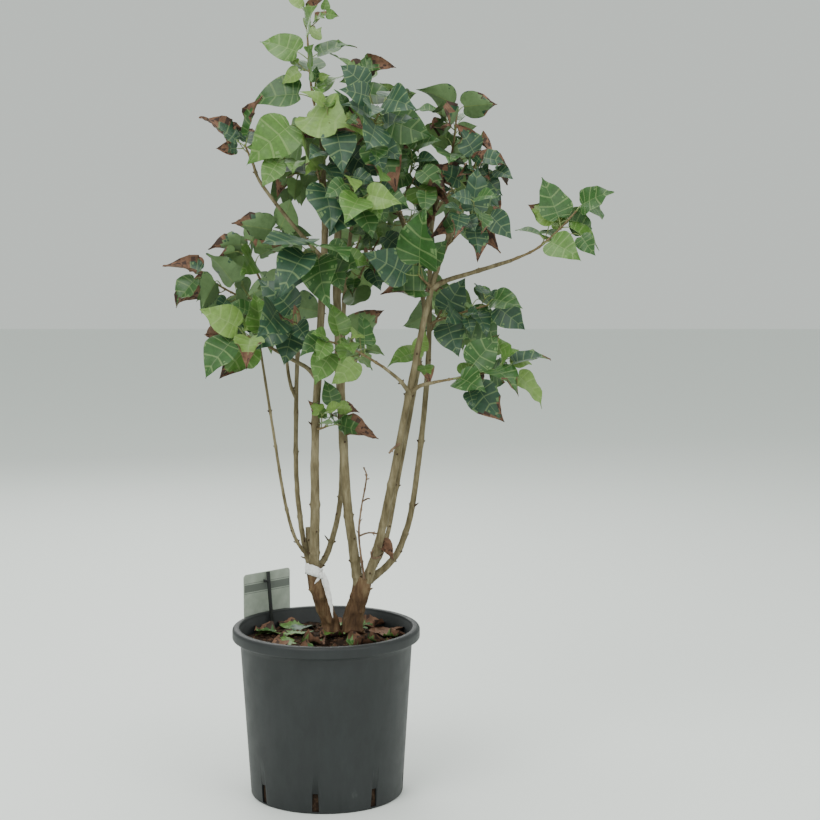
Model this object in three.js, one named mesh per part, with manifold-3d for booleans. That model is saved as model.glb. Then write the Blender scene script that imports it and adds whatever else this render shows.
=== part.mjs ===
// Lilac bush in a round nursery pot. Millimetres, +Z up, origin at the centre of the pot's underside.
// Two short trunks fork into nine stems, boughs leave the stems, and each spray of leaves is one solid:
// a twig with opposite pairs of leaves and side twigs that a seeded rule grows from it.
import * as THREE from "three";
import { mergeVertices } from "three/addons/utils/BufferGeometryUtils.js";
import Module from "manifold-3d";

const wasm = await Module();
wasm.setup();

// Driving dimensions.
const CLEAR = 0.3; // air between solids that meet
const POT = { rim: 135, rimTop: 244, lip: 17, neck: 124, base: 110, wall: 2.4, sides: 36 };
const SLOTS = { count: 8, turn: 39, wide: 10, low: 3, high: 30, deep: 24 };
const SOIL = { crown: 230, crownRadius: 56, edge: 221, edgeRadius: 104 };
const CARD = { azimuth: 133, wide: 88, tall: 112, top: 303, thick: 1.2, corner: 5 };
const STICK = { wide: 5, thick: 3, foot: 116, aside: 7.5, top: 303, hook: 9, hookDrop: 16 };
const TIE = { low: 315, high: 332, thick: 1.1, knot: 7, tail: 5.5, drop: 62 };
const SEED = 11;

// Woody limbs: radius at the foot, radius at the tip, flare added at the foot, and the route.
const LIMBS = {
  trunk_left: [9.8, 9.4, 5,
    [[5, 12, 230.3], [5, 12, 244], [-2, 8, 265], [-9, 4, 285], [-15, 0, 307], [-18, 0, 330]]],
  trunk_right: [12.4, 11.6, 5,
    [[37, 14, 230.3], [37, 14, 244], [42, 11, 268], [49, 7, 290], [56, 6, 314]]],
  stem_3: [6.8, 3, 1.5,
    [[-17, 0, 321], [-15, -4, 404], [-13, -8, 545], [0, -4, 775], [0, 2, 853], [-3, 6, 940]]],
  stem_2: [4, 2.6, 1,
    [[-20, 2, 324], [-28, 10, 345], [-37, 22, 390], [-44, 38, 462], [-44, 54, 574], [-40, 66, 684]]],
  stem_2_left: [2.5, 1.7, 0,
    [[-44, 52, 566], [-54, 57, 593], [-63, 62, 656], [-81, 60, 707], [-95, 54, 739]]],
  stem_2_stub: [3.6, 3.3, 0,
    [[-25, 10, 337], [-26, 20, 360], [-27, 26, 383]]],
  stem_1: [2.6, 1.6, 0.8,
    [[-24, 8, 340], [-45, 0, 375], [-59, -12, 436], [-72, -22, 527], [-90, -26, 651]]],
  stem_4: [4.4, 2.6, 1,
    [[-14, 4, 325], [1, 26, 345], [16, 52, 398], [21, 72, 469], [24, 92, 695], [36, 92, 820]]],
  stem_5: [7, 3.6, 1.5,
    [[47, 6, 300], [39, 2, 357], [29, 0, 449], [18, 0, 702], [20, 0, 818], [33, -4, 905], [44, -6, 975]]],
  stem_7: [6.4, 3, 1.5,
    [[59, 3, 308], [76, -8, 367], [96, -20, 461], [119, -32, 583], [153, -30, 740], [189, -20, 837]]],
  stem_9: [5, 2.8, 1.2,
    [[62, 8, 308], [92, 22, 332], [109, 28, 360], [126, 36, 426], [146, 44, 608], [151, 40, 808],
      [166, 36, 870]]],
  stem_8: [3.4, 2, 0.8,
    [[62, 18, 314], [83, 38, 353], [99, 52, 425], [138, 72, 645], [136, 60, 732], [118, 46, 798],
      [90, 32, 867]]],
  dead_twig: [1.7, 0.9, 0.5,
    [[55, -8, 314], [48, -18, 376], [51, -22, 415], [59, -24, 462], [55, -24, 478]]],
  bough_left: [3.2, 2.2, 1,
    [[-10, -8, 600], [-24, -18, 618], [-45, -34, 632], [-67, -48, 646]]],
  bough_high_left: [2.8, 1.8, 0.8,
    [[-1, -4, 770], [-43, -18, 819], [-85, -30, 875], [-97, -34, 905]]],
  bough_inner: [2.8, 2, 0.8,
    [[120, -34, 584], [106, -50, 604], [83, -62, 624]]],
  bough_right: [3, 2.2, 0.8,
    [[119, -32, 582], [134, -34, 594], [156, -36, 600]]],
  bough_long_right: [3.6, 2.4, 1,
    [[151, -30, 731], [172, -33, 742], [208, -35, 753], [262, -37, 770]]],
};

// Sprays of leaves: the twig's route from its limb, the nodes that bear a pair of leaves, the side twigs,
// a grown leaf's length, the compass angle of the last pair (0 along +X on an upright twig, up on a level
// one), how far the blades hang, and the size of the youngest leaves.
const SPRAYS = {
  leaves_leader_tip: [[[-3, 6, 940], [-16, 2, 1003], [-20, -2, 1050], [-23, -6, 1110]], 5, 0, 62, 0, 0.2, 0.5],
  leaves_leader_left: [[[-1, 3, 870], [-18, -20, 911], [-27, -30, 944]], 2, 0, 88, 20, 0.8, 0.95],
  leaves_leader_front: [[[0, 1, 840], [-3, -40, 874], [-6, -68, 894]], 2, 1, 74, 20, 0.9, 0.9],
  leaves_leader_back: [[[-1, 3, 880], [-10, 44, 908], [-16, 88, 934]], 2, 1, 64, 40, 0.6, 0.8],
  leaves_high_left: [[[-97, -34, 905], [-106, -37, 926]], 1, 0, 58, 0, 0, 1],
  leaves_second_tip: [[[44, -6, 975], [46, -7, 1000], [47, -8, 1022]], 3, 0, 56, 0, 0.4, 0.9],
  leaves_second_left: [[[32, -4, 902], [19, -36, 936], [11, -54, 956]], 3, 1, 62, 45, 0.7, 0.8],
  leaves_second_right: [[[36, -4, 918], [56, -40, 938], [74, -66, 950]], 2, 1, 74, 20, 0.6, 0.9],
  leaves_second_back: [[[34, -4, 910], [52, 44, 940], [62, 88, 962]], 2, 1, 62, 0, 0.6, 0.8],
  leaves_middle_front: [[[20, 0, 822], [40, -50, 846], [56, -96, 856]], 3, 1, 66, 30, 0.8, 0.8],
  leaves_middle_tip: [[[36, 92, 820], [38, 90, 862], [34, 84, 900]], 3, 1, 64, 40, 0.6, 0.8],
  leaves_middle_back: [[[30, 92, 760], [42, 132, 784], [48, 168, 800]], 2, 1, 62, 0, 0.7, 0.9],
  leaves_fourth_tip: [[[90, 32, 867], [90, 30, 930], [100, 26, 990]], 4, 0, 54, 0, 0.5, 0.6],
  leaves_fourth_front: [[[103, 39, 835], [118, 0, 868], [128, -30, 886]], 3, 1, 70, 20, 0.8, 0.8],
  leaves_fourth_back: [[[120, 48, 792], [110, 96, 828], [100, 138, 850]], 2, 1, 64, 0, 0.7, 0.8],
  leaves_third_tip: [[[166, 36, 870], [180, 32, 920], [187, 30, 974]], 4, 0, 66, 150, 0.5, 0.9],
  leaves_third_back: [[[153, 40, 830], [176, 86, 862], [186, 122, 880]], 2, 1, 62, 20, 0.7, 0.8],
  leaves_right_tip: [[[189, -20, 837], [202, -18, 875], [212, -20, 906]], 3, 1, 60, 0, 0.7, 0.8],
  leaves_right_front: [[[172, -25, 790], [196, -58, 816], [216, -80, 830]], 3, 0, 62, 0, 0.8, 0.9],
  leaves_fork: [[[151, -30, 732], [140, -46, 742], [133, -54, 750]], 1, 0, 84, 0, -0.3, 1],
  leaves_far_right: [[[262, -37, 770], [296, -39, 786], [326, -42, 812], [350, -44, 838]], 3, 0, 72, 90, 0.5, 1],
  leaves_side_right: [[[148, 43, 676], [180, 6, 690], [229, -12, 706]], 4, 0, 60, 0, 0.6, 0.9],
  leaves_low_right: [[[156, -36, 600], [196, -41, 608], [254, -50, 620]], 4, 0, 56, 0, 0.35, 1],
  leaves_low_middle: [[[146, 44, 604], [138, 2, 618], [132, -6, 634]], 2, 0, 44, 30, 0.5, 0.9],
  leaves_inner: [[[83, -62, 624], [45, -74, 648], [10, -82, 661]], 4, 0, 52, 90, 0.6, 0.9],
  leaves_left_tip: [[[-67, -48, 646], [-90, -60, 661], [-108, -68, 668]], 3, 0, 62, 0, 0.7, 1],
  leaves_far_left: [[[-81, 60, 707], [-122, 36, 716], [-168, 18, 742]], 4, 0, 54, 0, 0.9, 1],
  leaves_stem_2_left: [[[-95, 54, 739], [-104, 50, 760], [-112, 46, 782]], 3, 0, 54, 0, 0.5, 0.9],
  leaves_stem_2_tip: [[[-40, 66, 684], [-54, 44, 750], [-66, 30, 800]], 3, 0, 58, 0, 0.6, 0.9],
  leaves_green_shoot: [[[-10, -8, 660], [-36, -36, 681], [-60, -52, 692]], 2, 0, 78, 0, 0.7, 0.9],
  leaves_front_low: [[[-1, -4, 764], [-6, -58, 776], [-12, -96, 784]], 3, 0, 78, 20, 1, 0.9],
  leaves_inner_twig: [[[24, 92, 706], [45, 30, 736], [57, 4, 762], [76, -12, 797]], 4, 0, 58, 0, 0.8, 0.8],
  leaves_low_pair: [[[-13, -8, 530], [-4, -22, 533], [3, -26, 536]], 1, 0, 54, 0, 0.35, 1],
  leaves_stem_1: [[[-90, -26, 651], [-92, -27, 672], [-94, -30, 690]], 2, 0, 42, 0, 0.6, 0.9],
  leaves_back_right: [[[147, 44, 660], [166, 100, 690], [178, 148, 712]], 3, 1, 60, 0, 0.7, 0.8],
  leaves_back_left: [[[-41, 64, 664], [-66, 112, 696], [-84, 154, 722]], 3, 1, 60, 0, 0.7, 0.8],
  leaves_back_low: [[[24, 88, 610], [30, 124, 634], [34, 160, 652]], 2, 0, 58, 30, 0.7, 0.8],
};

// A leaf: half its outline as (along, across) in leaf lengths, its middle, and its other proportions.
const LEAF = {
  half: [[-0.05, 0.2], [0.2, 0.42], [0.66, 0.26]],
  middle: 0.34,
  thick: 0.036,
  stalk: 0.3,
  stalkRadius: 0.95,
};
const TWIG = { foot: 1.9, tip: 1.2, sideFoot: 1.32, side: 0.95, bare: 0.1 };
const AIR = { leaf: 2.6, limb: 1.6 }; // room kept round a leaf that grows
const TRIES = 5; // goes at a leaf before its place stays empty
const CROWN_MIDDLE = 24; // Y of the crown's middle, from which leaves face outwards
const LIGHT = { side: 0.8, up: 0.6 }; // leaves face out of the near side of the crown, and up
const DEG = Math.PI / 180;

const vec = (x, y, z) => new THREE.Vector3(x, y, z);
const mix = (a, b, t) => a + (b - a) * t;

// ---- Solids ----

function solidOf(geometry) {
  geometry.deleteAttribute("normal");
  geometry.deleteAttribute("uv");
  const merged = mergeVertices(geometry, 1e-4);
  const corners = merged.index.array;
  const kept = [];
  for (let i = 0; i < corners.length; i += 3) {
    const [a, b, c] = [corners[i], corners[i + 1], corners[i + 2]];
    if (a !== b && b !== c && c !== a) kept.push(a, b, c);
  }
  const mesh = new wasm.Mesh({
    numProp: 3,
    vertProperties: merged.attributes.position.array,
    triVerts: new Uint32Array(kept),
  });
  return new wasm.Manifold(mesh);
}

function geometryOf(solid) {
  const mesh = solid.getMesh();
  const geometry = new THREE.BufferGeometry();
  geometry.setAttribute("position", new THREE.BufferAttribute(mesh.vertProperties, mesh.numProp));
  geometry.setIndex(new THREE.BufferAttribute(mesh.triVerts, 1));
  return geometry;
}

function biggest(solid) {
  return solid.decompose().sort((a, b) => b.volume() - a.volume())[0];
}

// ---- Limbs ----

// Directions across a route: the first is the compass zero, +X on an upright twig and +Z on a level one.
function across(along, overall) {
  const upright = Math.abs(overall.x) < 0.8;
  const zero = upright ? vec(1, 0, 0) : vec(0, 0, 1);
  const first = zero.addScaledVector(along, -zero.dot(along)).normalize();
  return [first, along.clone().cross(first)];
}

function makeLimb(points, radii, flare, sides) {
  const curve = new THREE.CatmullRomCurve3(points.map((p) => vec(...p)), false, "catmullrom", 0.5);
  const overall = curve.points.at(-1).clone().sub(curve.points[0]).normalize();
  const length = curve.getLength();
  const radius = (t) => mix(radii[0], radii[1], t) + flare * Math.exp((-t * length) / (3 * radii[0]));
  return { curve, overall, length, radius, radii, sides };
}

// The route as straight stretches, each with its mean radius, for the clearance tests.
function stretches(limb, count) {
  const list = [];
  for (let i = 0; i < count; i += 1) {
    const a = limb.curve.getPoint(i / count);
    const b = limb.curve.getPoint((i + 1) / count);
    list.push({ a, b, radius: limb.radius((i + 0.5) / count) });
  }
  return list;
}

// A cylinder whose rings are laid along the limb's curve. grow fattens it and lengthens both its ends.
function limbSolid(limb, grow = 0) {
  const steps = Math.round(1.7 * (limb.curve.points.length - 1));
  const shape = new THREE.CylinderGeometry(1, 1, 1, limb.sides, steps);
  const place = shape.attributes.position;
  for (let i = 0; i < place.count; i += 1) {
    const t = THREE.MathUtils.clamp(place.getY(i) + 0.5, 0, 1);
    const along = limb.curve.getTangent(t);
    const [first, second] = across(along, limb.overall);
    const end = (t > 0.999 ? grow : 0) - (t < 0.001 ? grow : 0);
    const radius = limb.radius(t) + 1.1 * grow;
    const at = limb.curve.getPoint(t).addScaledVector(along, end);
    at.addScaledVector(first, radius * place.getX(i)).addScaledVector(second, -radius * place.getZ(i));
    place.setXYZ(i, at.x, at.y, at.z);
  }
  return solidOf(shape);
}

// ---- Seeded rule ----

function seeded(number) {
  let state = (number * 2654435761) >>> 0;
  return () => {
    state = (state + 0x6d2b79f5) >>> 0;
    let t = Math.imul(state ^ (state >>> 15), state | 1);
    t = (t + Math.imul(t ^ (t >>> 7), t | 61)) ^ t;
    return ((t ^ (t >>> 14)) >>> 0) / 4294967296;
  };
}

// One leaf of a pair at a node: where its stalk starts, where its blade starts, and the blade's three axes.
function makeLeaf(node, azimuth, spray, size, random) {
  const spread = mix(38, 66, random()) * (node.last ? 0.7 : 1) * DEG;
  const angle = (azimuth + mix(-16, 16, random())) * DEG;
  const out = node.across[0].clone().multiplyScalar(Math.cos(angle));
  out.addScaledVector(node.across[1], Math.sin(angle));
  const stalk = node.along.clone().multiplyScalar(Math.cos(spread)).addScaledVector(out, Math.sin(spread));
  const along = stalk.clone();
  along.z -= spray.droop * mix(0.5, 1.5, random());
  along.normalize();
  const length = size * mix(0.7, 1.12, random());
  const foot = node.at.clone();
  const base = foot.clone().addScaledVector(stalk, length * LEAF.stalk * mix(0.8, 1.2, random()));
  const near = node.at.y < CROWN_MIDDLE ? -1 : 1;
  const face = vec(mix(-0.4, 0.4, random()), near * LIGHT.side, LIGHT.up);
  face.addScaledVector(along, -face.dot(along)).normalize();
  face.applyAxisAngle(along, mix(-38, 38, random()) * DEG);
  const side = face.clone().cross(along);
  const fold = mix(0.1, 0.34, random());
  const curl = mix(0, 0.26, random());
  const leaf = { foot, base, along, side, face, length, fold, curl };
  leaf.rim = rimOf(leaf);
  leaf.middle = bladePoint(leaf, LEAF.middle, 0);
  leaf.tip = leaf.rim[LEAF.half.length + 1];
  return leaf;
}

function bladePoint(leaf, along, wide, lift = 0) {
  const rise = leaf.fold * Math.abs(wide) - leaf.curl * along * along + lift;
  const at = leaf.base.clone().addScaledVector(leaf.along, along * leaf.length);
  return at.addScaledVector(leaf.side, wide * leaf.length).addScaledVector(leaf.face, rise * leaf.length);
}

function rimOf(leaf) {
  const left = LEAF.half.map(([a, w]) => bladePoint(leaf, a, w));
  const right = LEAF.half.map(([a, w]) => bladePoint(leaf, a, -w)).reverse();
  return [leaf.base.clone(), ...left, bladePoint(leaf, 1, 0), ...right];
}

// ---- Clearance ----

const ray = new THREE.Ray();
const hit = new THREE.Vector3();

function crosses(a, b, triangle) {
  const length = a.distanceTo(b);
  ray.origin.copy(a);
  ray.direction.subVectors(b, a).divideScalar(length);
  if (!ray.intersectTriangle(...triangle, false, hit)) return false;
  return hit.distanceTo(a) <= length;
}

function fan(leaf, shift) {
  const moved = (p) => p.clone().addScaledVector(leaf.face, shift);
  const middle = moved(leaf.middle);
  const rim = leaf.rim.map(moved);
  return rim.map((p, i) => [middle, p, rim[(i + 1) % rim.length]]);
}

function edges(leaf) {
  const list = leaf.rim.map((p, i) => [p, leaf.rim[(i + 1) % leaf.rim.length]]);
  list.push([leaf.base, leaf.middle], [leaf.middle, leaf.tip], [leaf.foot, leaf.base]);
  return list;
}

function leavesTouch(one, two) {
  if (one.middle.distanceTo(two.middle) > one.length + two.length) return false;
  const lines = [edges(one), edges(two)];
  return [-AIR.leaf, 0, AIR.leaf].some((shift) => {
    const faces = [fan(two, shift), fan(one, shift)];
    return lines.some((list, k) => list.some(([a, b]) => faces[k].some((face) => crosses(a, b, face))));
  });
}

function gapTo(point, { a, b }) {
  const line = b.clone().sub(a);
  const t = THREE.MathUtils.clamp(point.clone().sub(a).dot(line) / line.lengthSq(), 0, 1);
  return a.clone().addScaledVector(line, t).distanceTo(point);
}

function leafTouchesLimb(leaf, stretch) {
  const reach = leaf.length + stretch.a.distanceTo(stretch.b) + stretch.radius;
  if (leaf.middle.distanceTo(stretch.a) > reach) return false;
  if (fan(leaf, 0).some((face) => crosses(stretch.a, stretch.b, face))) return true;
  const room = stretch.radius + AIR.limb;
  return [...leaf.rim, leaf.middle].some((point) => gapTo(point, stretch) < room);
}

// ---- Growth ----

function nodeOn(limb, t) {
  const along = limb.curve.getTangent(t);
  return { at: limb.curve.getPoint(t), along, across: across(along, limb.overall), last: t > 0.999 };
}

// The side twigs leave the lower nodes of the main twig, where a leaf would be.
function sideTwigs(spray, twig, random) {
  const list = [];
  for (let i = 0; i < spray.sides; i += 1) {
    const t = mix(0.3, 0.5, random());
    const node = nodeOn(twig, t);
    const angle = (spray.turn + 45 + 180 * i + mix(-60, 60, random())) * DEG;
    const out = node.across[0].clone().multiplyScalar(Math.cos(angle));
    out.addScaledVector(node.across[1], Math.sin(angle));
    const way = node.along.clone().addScaledVector(out, mix(0.9, 1.5, random())).normalize();
    const tip = node.at.clone().addScaledVector(way, spray.leaf * mix(0.7, 0.95, random()));
    const bend = node.at.clone().lerp(tip, 0.5).add(vec(0, 0, -0.05 * spray.leaf));
    const points = [node.at, bend, tip].map((p) => p.toArray());
    const limb = makeLimb(points, [TWIG.sideFoot, TWIG.side], 0, 3);
    list.push({ limb, pairs: 2, leaf: 0.86 * spray.leaf });
  }
  return list;
}

function growTwigs(spray, index) {
  const random = seeded(SEED * 1000 + index);
  const main = makeLimb(spray.route, [TWIG.foot, TWIG.tip], 0, 3);
  const shoots = [{ limb: main, pairs: spray.pairs, leaf: spray.leaf }];
  return [...shoots, ...sideTwigs(spray, main, random)];
}

function growLeaves(spray, index, shoots, wood, grown) {
  const leaves = [];
  shoots.forEach((shoot, branch) => {
    for (let k = 0; k < shoot.pairs; k += 1) {
      const t = 1 - ((1 - TWIG.bare) * k) / Math.max(shoot.pairs, 2);
      const node = nodeOn(shoot.limb, t);
      const size = shoot.leaf * mix(spray.young, 1, Math.min(1, k / 2));
      for (let half = 0; half < 2; half += 1) {
        const azimuth = spray.turn + 90 * (k + branch) + 180 * half;
        const random = seeded(SEED * 1000 + index * 100 + branch * 40 + k * 2 + half + 7);
        const leaf = firstClear(node, azimuth, spray, size, random, wood, grown);
        if (!leaf) continue;
        leaves.push(leaf);
        grown.push(leaf);
      }
    }
  });
  return leaves;
}

function firstClear(node, azimuth, spray, size, random, wood, grown) {
  for (let i = 0; i < TRIES; i += 1) {
    const leaf = makeLeaf(node, azimuth, spray, size, random);
    const blocked = wood.some((stretch) => leafTouchesLimb(leaf, stretch));
    if (!blocked && !grown.some((other) => leavesTouch(leaf, other))) return leaf;
  }
  return null;
}

// A leaf is one closed skin: a three-sided stalk that opens into the blade, a thin lens with one point
// over its middle and one under it.
function leafSolid(leaf) {
  const { foot, base, side, face, rim } = leaf;
  const section = (at, radius) => {
    const sides = [1, -1].map((way) => at.clone().addScaledVector(side, way * radius));
    return [...sides, at.clone().addScaledVector(face, -1.5 * radius)];
  };
  const [footLeft, footRight, footUnder] = section(foot, 1.15 * LEAF.stalkRadius);
  const [neckLeft, neckRight, neckUnder] = section(base, LEAF.stalkRadius);
  const over = bladePoint(leaf, LEAF.middle, 0, LEAF.thick / 2);
  const under = bladePoint(leaf, LEAF.middle, 0, -LEAF.thick / 2);
  const ring = [neckLeft, ...rim.slice(1), neckRight];
  const faces = [
    [neckRight, over, neckLeft], [neckUnder, under, neckRight], [neckLeft, under, neckUnder],
    [neckRight, neckLeft, footLeft], [neckRight, footLeft, footRight], [neckUnder, neckRight, footRight],
    [neckUnder, footRight, footUnder], [neckLeft, neckUnder, footUnder], [neckLeft, footUnder, footLeft],
    [footRight, footLeft, footUnder],
  ];
  for (let i = 0; i + 1 < ring.length; i += 1) {
    faces.push([ring[i], over, ring[i + 1]], [ring[i + 1], under, ring[i]]);
  }
  const corners = faces.flat().flatMap((p) => p.toArray());
  const shape = new THREE.BufferGeometry();
  shape.setAttribute("position", new THREE.Float32BufferAttribute(corners, 3));
  return solidOf(shape);
}

function spraySolid(shoots, leaves, limbs) {
  const parts = shoots.map(({ limb }) => limbSolid(limb));
  leaves.forEach((leaf) => parts.push(leafSolid(leaf)));
  const joined = wasm.Manifold.union(parts);
  return biggest(limbs.reduce((solid, limb) => solid.subtract(limb), joined));
}

// ---- Pot, soil, label and tie ----

function lathe(profile, sides) {
  const points = profile.map(([r, z]) => new THREE.Vector2(r, z));
  return new THREE.LatheGeometry(points, sides).rotateX(Math.PI / 2);
}

function makePot() {
  const { rim, rimTop, lip, neck, base, wall, sides } = POT;
  const profile = [
    [0, 0], [base - 2, 0], [base, 3], [neck, rimTop - lip],
    [rim - 1.5, rimTop - lip], [rim, rimTop - lip + 4], [rim, rimTop - 6], [rim - 4, rimTop],
    [neck, rimTop], [neck - wall, rimTop - 5], [base - wall, wall], [0, wall],
  ];
  let pot = solidOf(lathe(profile, sides));
  for (let i = 0; i < SLOTS.count; i += 1) {
    const slot = new THREE.BoxGeometry(SLOTS.deep, SLOTS.wide, SLOTS.high - SLOTS.low);
    slot.translate(base, 0, (SLOTS.high + SLOTS.low) / 2);
    slot.rotateZ((SLOTS.turn + (360 * i) / SLOTS.count) * DEG);
    pot = pot.subtract(solidOf(slot));
  }
  return pot;
}

function makeSoil() {
  const { rimTop, neck, base, wall, sides } = POT;
  const inner = (z) => mix(base - wall, neck - wall, (z - wall) / (rimTop - 5 - wall)) - CLEAR - 0.1;
  const floor = wall + CLEAR;
  const profile = [
    [0, floor], [inner(floor), floor], [inner(SOIL.edge), SOIL.edge], [SOIL.edgeRadius, SOIL.edge],
    [SOIL.crownRadius, SOIL.crown], [0, SOIL.crown],
  ];
  return solidOf(lathe(profile, sides));
}

// The card stands flat against the outside of the rim, and the stick leans out to it from the soil.
function makeCard() {
  const shape = new THREE.Shape();
  const [w, h, r] = [CARD.wide / 2, CARD.tall, CARD.corner];
  shape.moveTo(-w + r, 0).lineTo(w - r, 0).absarc(w - r, r, r, -Math.PI / 2, 0, false);
  shape.lineTo(w, h - r).absarc(w - r, h - r, r, 0, Math.PI / 2, false);
  shape.lineTo(-w + r, h).absarc(-w + r, h - r, r, Math.PI / 2, Math.PI, false);
  shape.lineTo(-w, r).absarc(-w + r, r, r, Math.PI, 1.5 * Math.PI, false);
  return new THREE.ExtrudeGeometry(shape, { depth: CARD.thick, bevelEnabled: false, curveSegments: 2 });
}

function makeStick(length) {
  const shape = new THREE.Shape();
  const [w, low] = [STICK.wide / 2, length - STICK.hookDrop];
  const hook = [[-w, low + 3], [-STICK.hook, low + 5], [-STICK.hook, low], [-w, low]];
  const outline = [[-w, 0], [w, 0], [w, length], [-w, length], ...hook];
  shape.setFromPoints(outline.map(([x, y]) => new THREE.Vector2(x, y)));
  return new THREE.ExtrudeGeometry(shape, { depth: STICK.thick, bevelEnabled: false });
}

// A paper band round the left trunk, with a tail that hangs from its knot.
function makeTie(trunk) {
  const middle = (TIE.low + TIE.high) / 2;
  const off = (p) => Math.abs(p.z - middle);
  const spot = trunk.curve.getPoints(200).reduce((a, b) => (off(b) < off(a) ? b : a));
  const reach = trunk.radii[0] + TIE.thick + CLEAR;
  const band = new THREE.CylinderGeometry(reach + 0.6, reach + 1, TIE.high - TIE.low, 10);
  band.rotateX(Math.PI / 2).translate(spot.x, spot.y, middle);
  const knot = new THREE.BoxGeometry(TIE.knot, 5, TIE.knot).rotateY(0.5);
  knot.translate(spot.x + reach + 2, spot.y - 5, middle + 1);
  const tail = new THREE.BoxGeometry(TIE.tail, TIE.thick, 1, 1, 1, 4);
  const place = tail.attributes.position;
  for (let i = 0; i < place.count; i += 1) {
    const down = 0.5 - place.getZ(i);
    const x = place.getX(i) * mix(1, 0.35, down) + spot.x + reach + 2 + 8 * Math.sqrt(down);
    place.setXYZ(i, x, place.getY(i) + spot.y - 4 - 9 * down, middle + 2 - TIE.drop * down);
  }
  return solidOf(band).add(solidOf(knot)).add(solidOf(tail));
}

// ---- Assembly ----

const bush = new THREE.Group();
bush.name = "lilac_bush_in_pot";

const FINISH = {
  pot: { color: 0x1d2124, roughness: 0.55, metalness: 0 },
  soil: { color: 0x3a2c20, roughness: 1, metalness: 0 },
  card: { color: 0xc3cabb, roughness: 0.5, metalness: 0 },
  stick: { color: 0x101312, roughness: 0.5, metalness: 0 },
  paper: { color: 0xe9e8e4, roughness: 0.8, metalness: 0 },
  trunk: { color: 0x5a4532, roughness: 0.95, metalness: 0 },
  bark: { color: 0x776a4e, roughness: 0.9, metalness: 0 },
  dead: { color: 0x6d5a48, roughness: 0.9, metalness: 0 },
  leaf: { color: 0x2f5a2c, roughness: 0.6, metalness: 0 },
};

function addPiece(name, shape, finish) {
  const geometry = shape.isBufferGeometry ? shape : geometryOf(shape);
  const mesh = new THREE.Mesh(geometry, new THREE.MeshStandardMaterial(FINISH[finish]));
  mesh.name = name;
  bush.add(mesh);
  return mesh;
}

addPiece("pot", makePot(), "pot");
addPiece("soil", makeSoil(), "soil");

const heading = (CARD.azimuth - 90) * DEG;
const outward = vec(Math.cos(CARD.azimuth * DEG), Math.sin(CARD.azimuth * DEG), 0);
const cardPiece = addPiece("label_card", makeCard(), "card");
cardPiece.rotation.set(Math.PI / 2, 0, heading, "ZXY");
cardPiece.position.copy(outward).multiplyScalar(POT.rim + CLEAR + CARD.thick).setZ(CARD.top - CARD.tall);

const stickFoot = SOIL.edge + CLEAR + 1;
const stickRise = STICK.top - stickFoot;
const stickLean = Math.atan2(POT.rim - CLEAR - STICK.foot, stickRise);
const stickRoll = Math.atan2(STICK.aside, stickRise);
const stickPiece = addPiece("label_stick", makeStick(stickRise / Math.cos(stickLean)), "stick");
stickPiece.rotation.set(Math.PI / 2 - stickLean, 0, heading, "ZXY");
stickPiece.rotateZ(-stickRoll);
const sideways = vec(outward.y, -outward.x, 0);
stickPiece.position.copy(outward).multiplyScalar(STICK.foot).setZ(stickFoot);
stickPiece.position.addScaledVector(sideways, -STICK.aside);

const limbs = {};
const cutters = [];
const wood = [];
for (const [name, [foot, tip, flare, route]] of Object.entries(LIMBS)) {
  const limb = makeLimb(route, [foot, tip], flare, foot > 5 ? 8 : 6);
  limbs[name] = limb;
  const solid = cutters.reduce((left, cutter) => left.subtract(cutter), limbSolid(limb));
  const finish = name.startsWith("trunk") ? "trunk" : name.startsWith("dead") ? "dead" : "bark";
  addPiece(name, biggest(solid), finish);
  cutters.push(limbSolid(limb, CLEAR));
  wood.push(...stretches(limb, 16));
}

const tie = cutters.reduce((left, cutter) => left.subtract(cutter), makeTie(limbs.trunk_left));
addPiece("paper_tie", biggest(tie), "paper");

const sprays = Object.entries(SPRAYS).map(([name, row], index) => {
  const [route, pairs, sides, leaf, turn, droop, young] = row;
  const spray = { route, pairs, sides, leaf, turn, droop, young };
  return { name, spray, index, shoots: growTwigs(spray, index) };
});
sprays.forEach(({ shoots }) => shoots.forEach(({ limb }) => wood.push(...stretches(limb, 5))));
const grown = [];
sprays.forEach(({ name, spray, index, shoots }) => {
  const leaves = growLeaves(spray, index, shoots, wood, grown);
  addPiece(name, spraySolid(shoots, leaves, cutters), "leaf");
});

export default bush;
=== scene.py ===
from math import ceil, cos, exp, pi, radians, sin, sqrt

import bmesh
import bpy
import numpy as np
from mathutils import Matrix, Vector, noise


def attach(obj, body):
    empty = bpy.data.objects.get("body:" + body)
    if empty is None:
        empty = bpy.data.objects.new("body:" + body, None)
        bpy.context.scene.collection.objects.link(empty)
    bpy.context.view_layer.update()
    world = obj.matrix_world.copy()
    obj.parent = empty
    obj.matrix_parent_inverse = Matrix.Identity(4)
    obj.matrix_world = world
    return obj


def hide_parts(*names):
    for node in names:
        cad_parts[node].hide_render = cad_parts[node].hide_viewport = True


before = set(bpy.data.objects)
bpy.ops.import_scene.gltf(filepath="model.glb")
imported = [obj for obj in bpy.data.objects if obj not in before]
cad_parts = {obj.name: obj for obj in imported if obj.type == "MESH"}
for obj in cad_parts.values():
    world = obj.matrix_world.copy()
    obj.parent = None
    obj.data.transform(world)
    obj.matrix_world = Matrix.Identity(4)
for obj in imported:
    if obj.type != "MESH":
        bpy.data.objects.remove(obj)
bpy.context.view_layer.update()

MM = 0.001

# ---- Sizes in millimetres, as in the solids ----

POT = dict(rim=135, top=244, lip=17, neck=124, base=110, wall=2.4, sides=160)
SLOTS = dict(count=8, turn=39, wide=10, low=3, high=30)
SOIL = dict(crown=230, edge=221, edge_radius=104)
CARD = dict(azimuth=133, wide=88, tall=112, top=303, thick=1.2)
TIE = dict(low=315, high=332, thick=1.1, slant=5.5, drop=62)
SEED = 11

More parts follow.
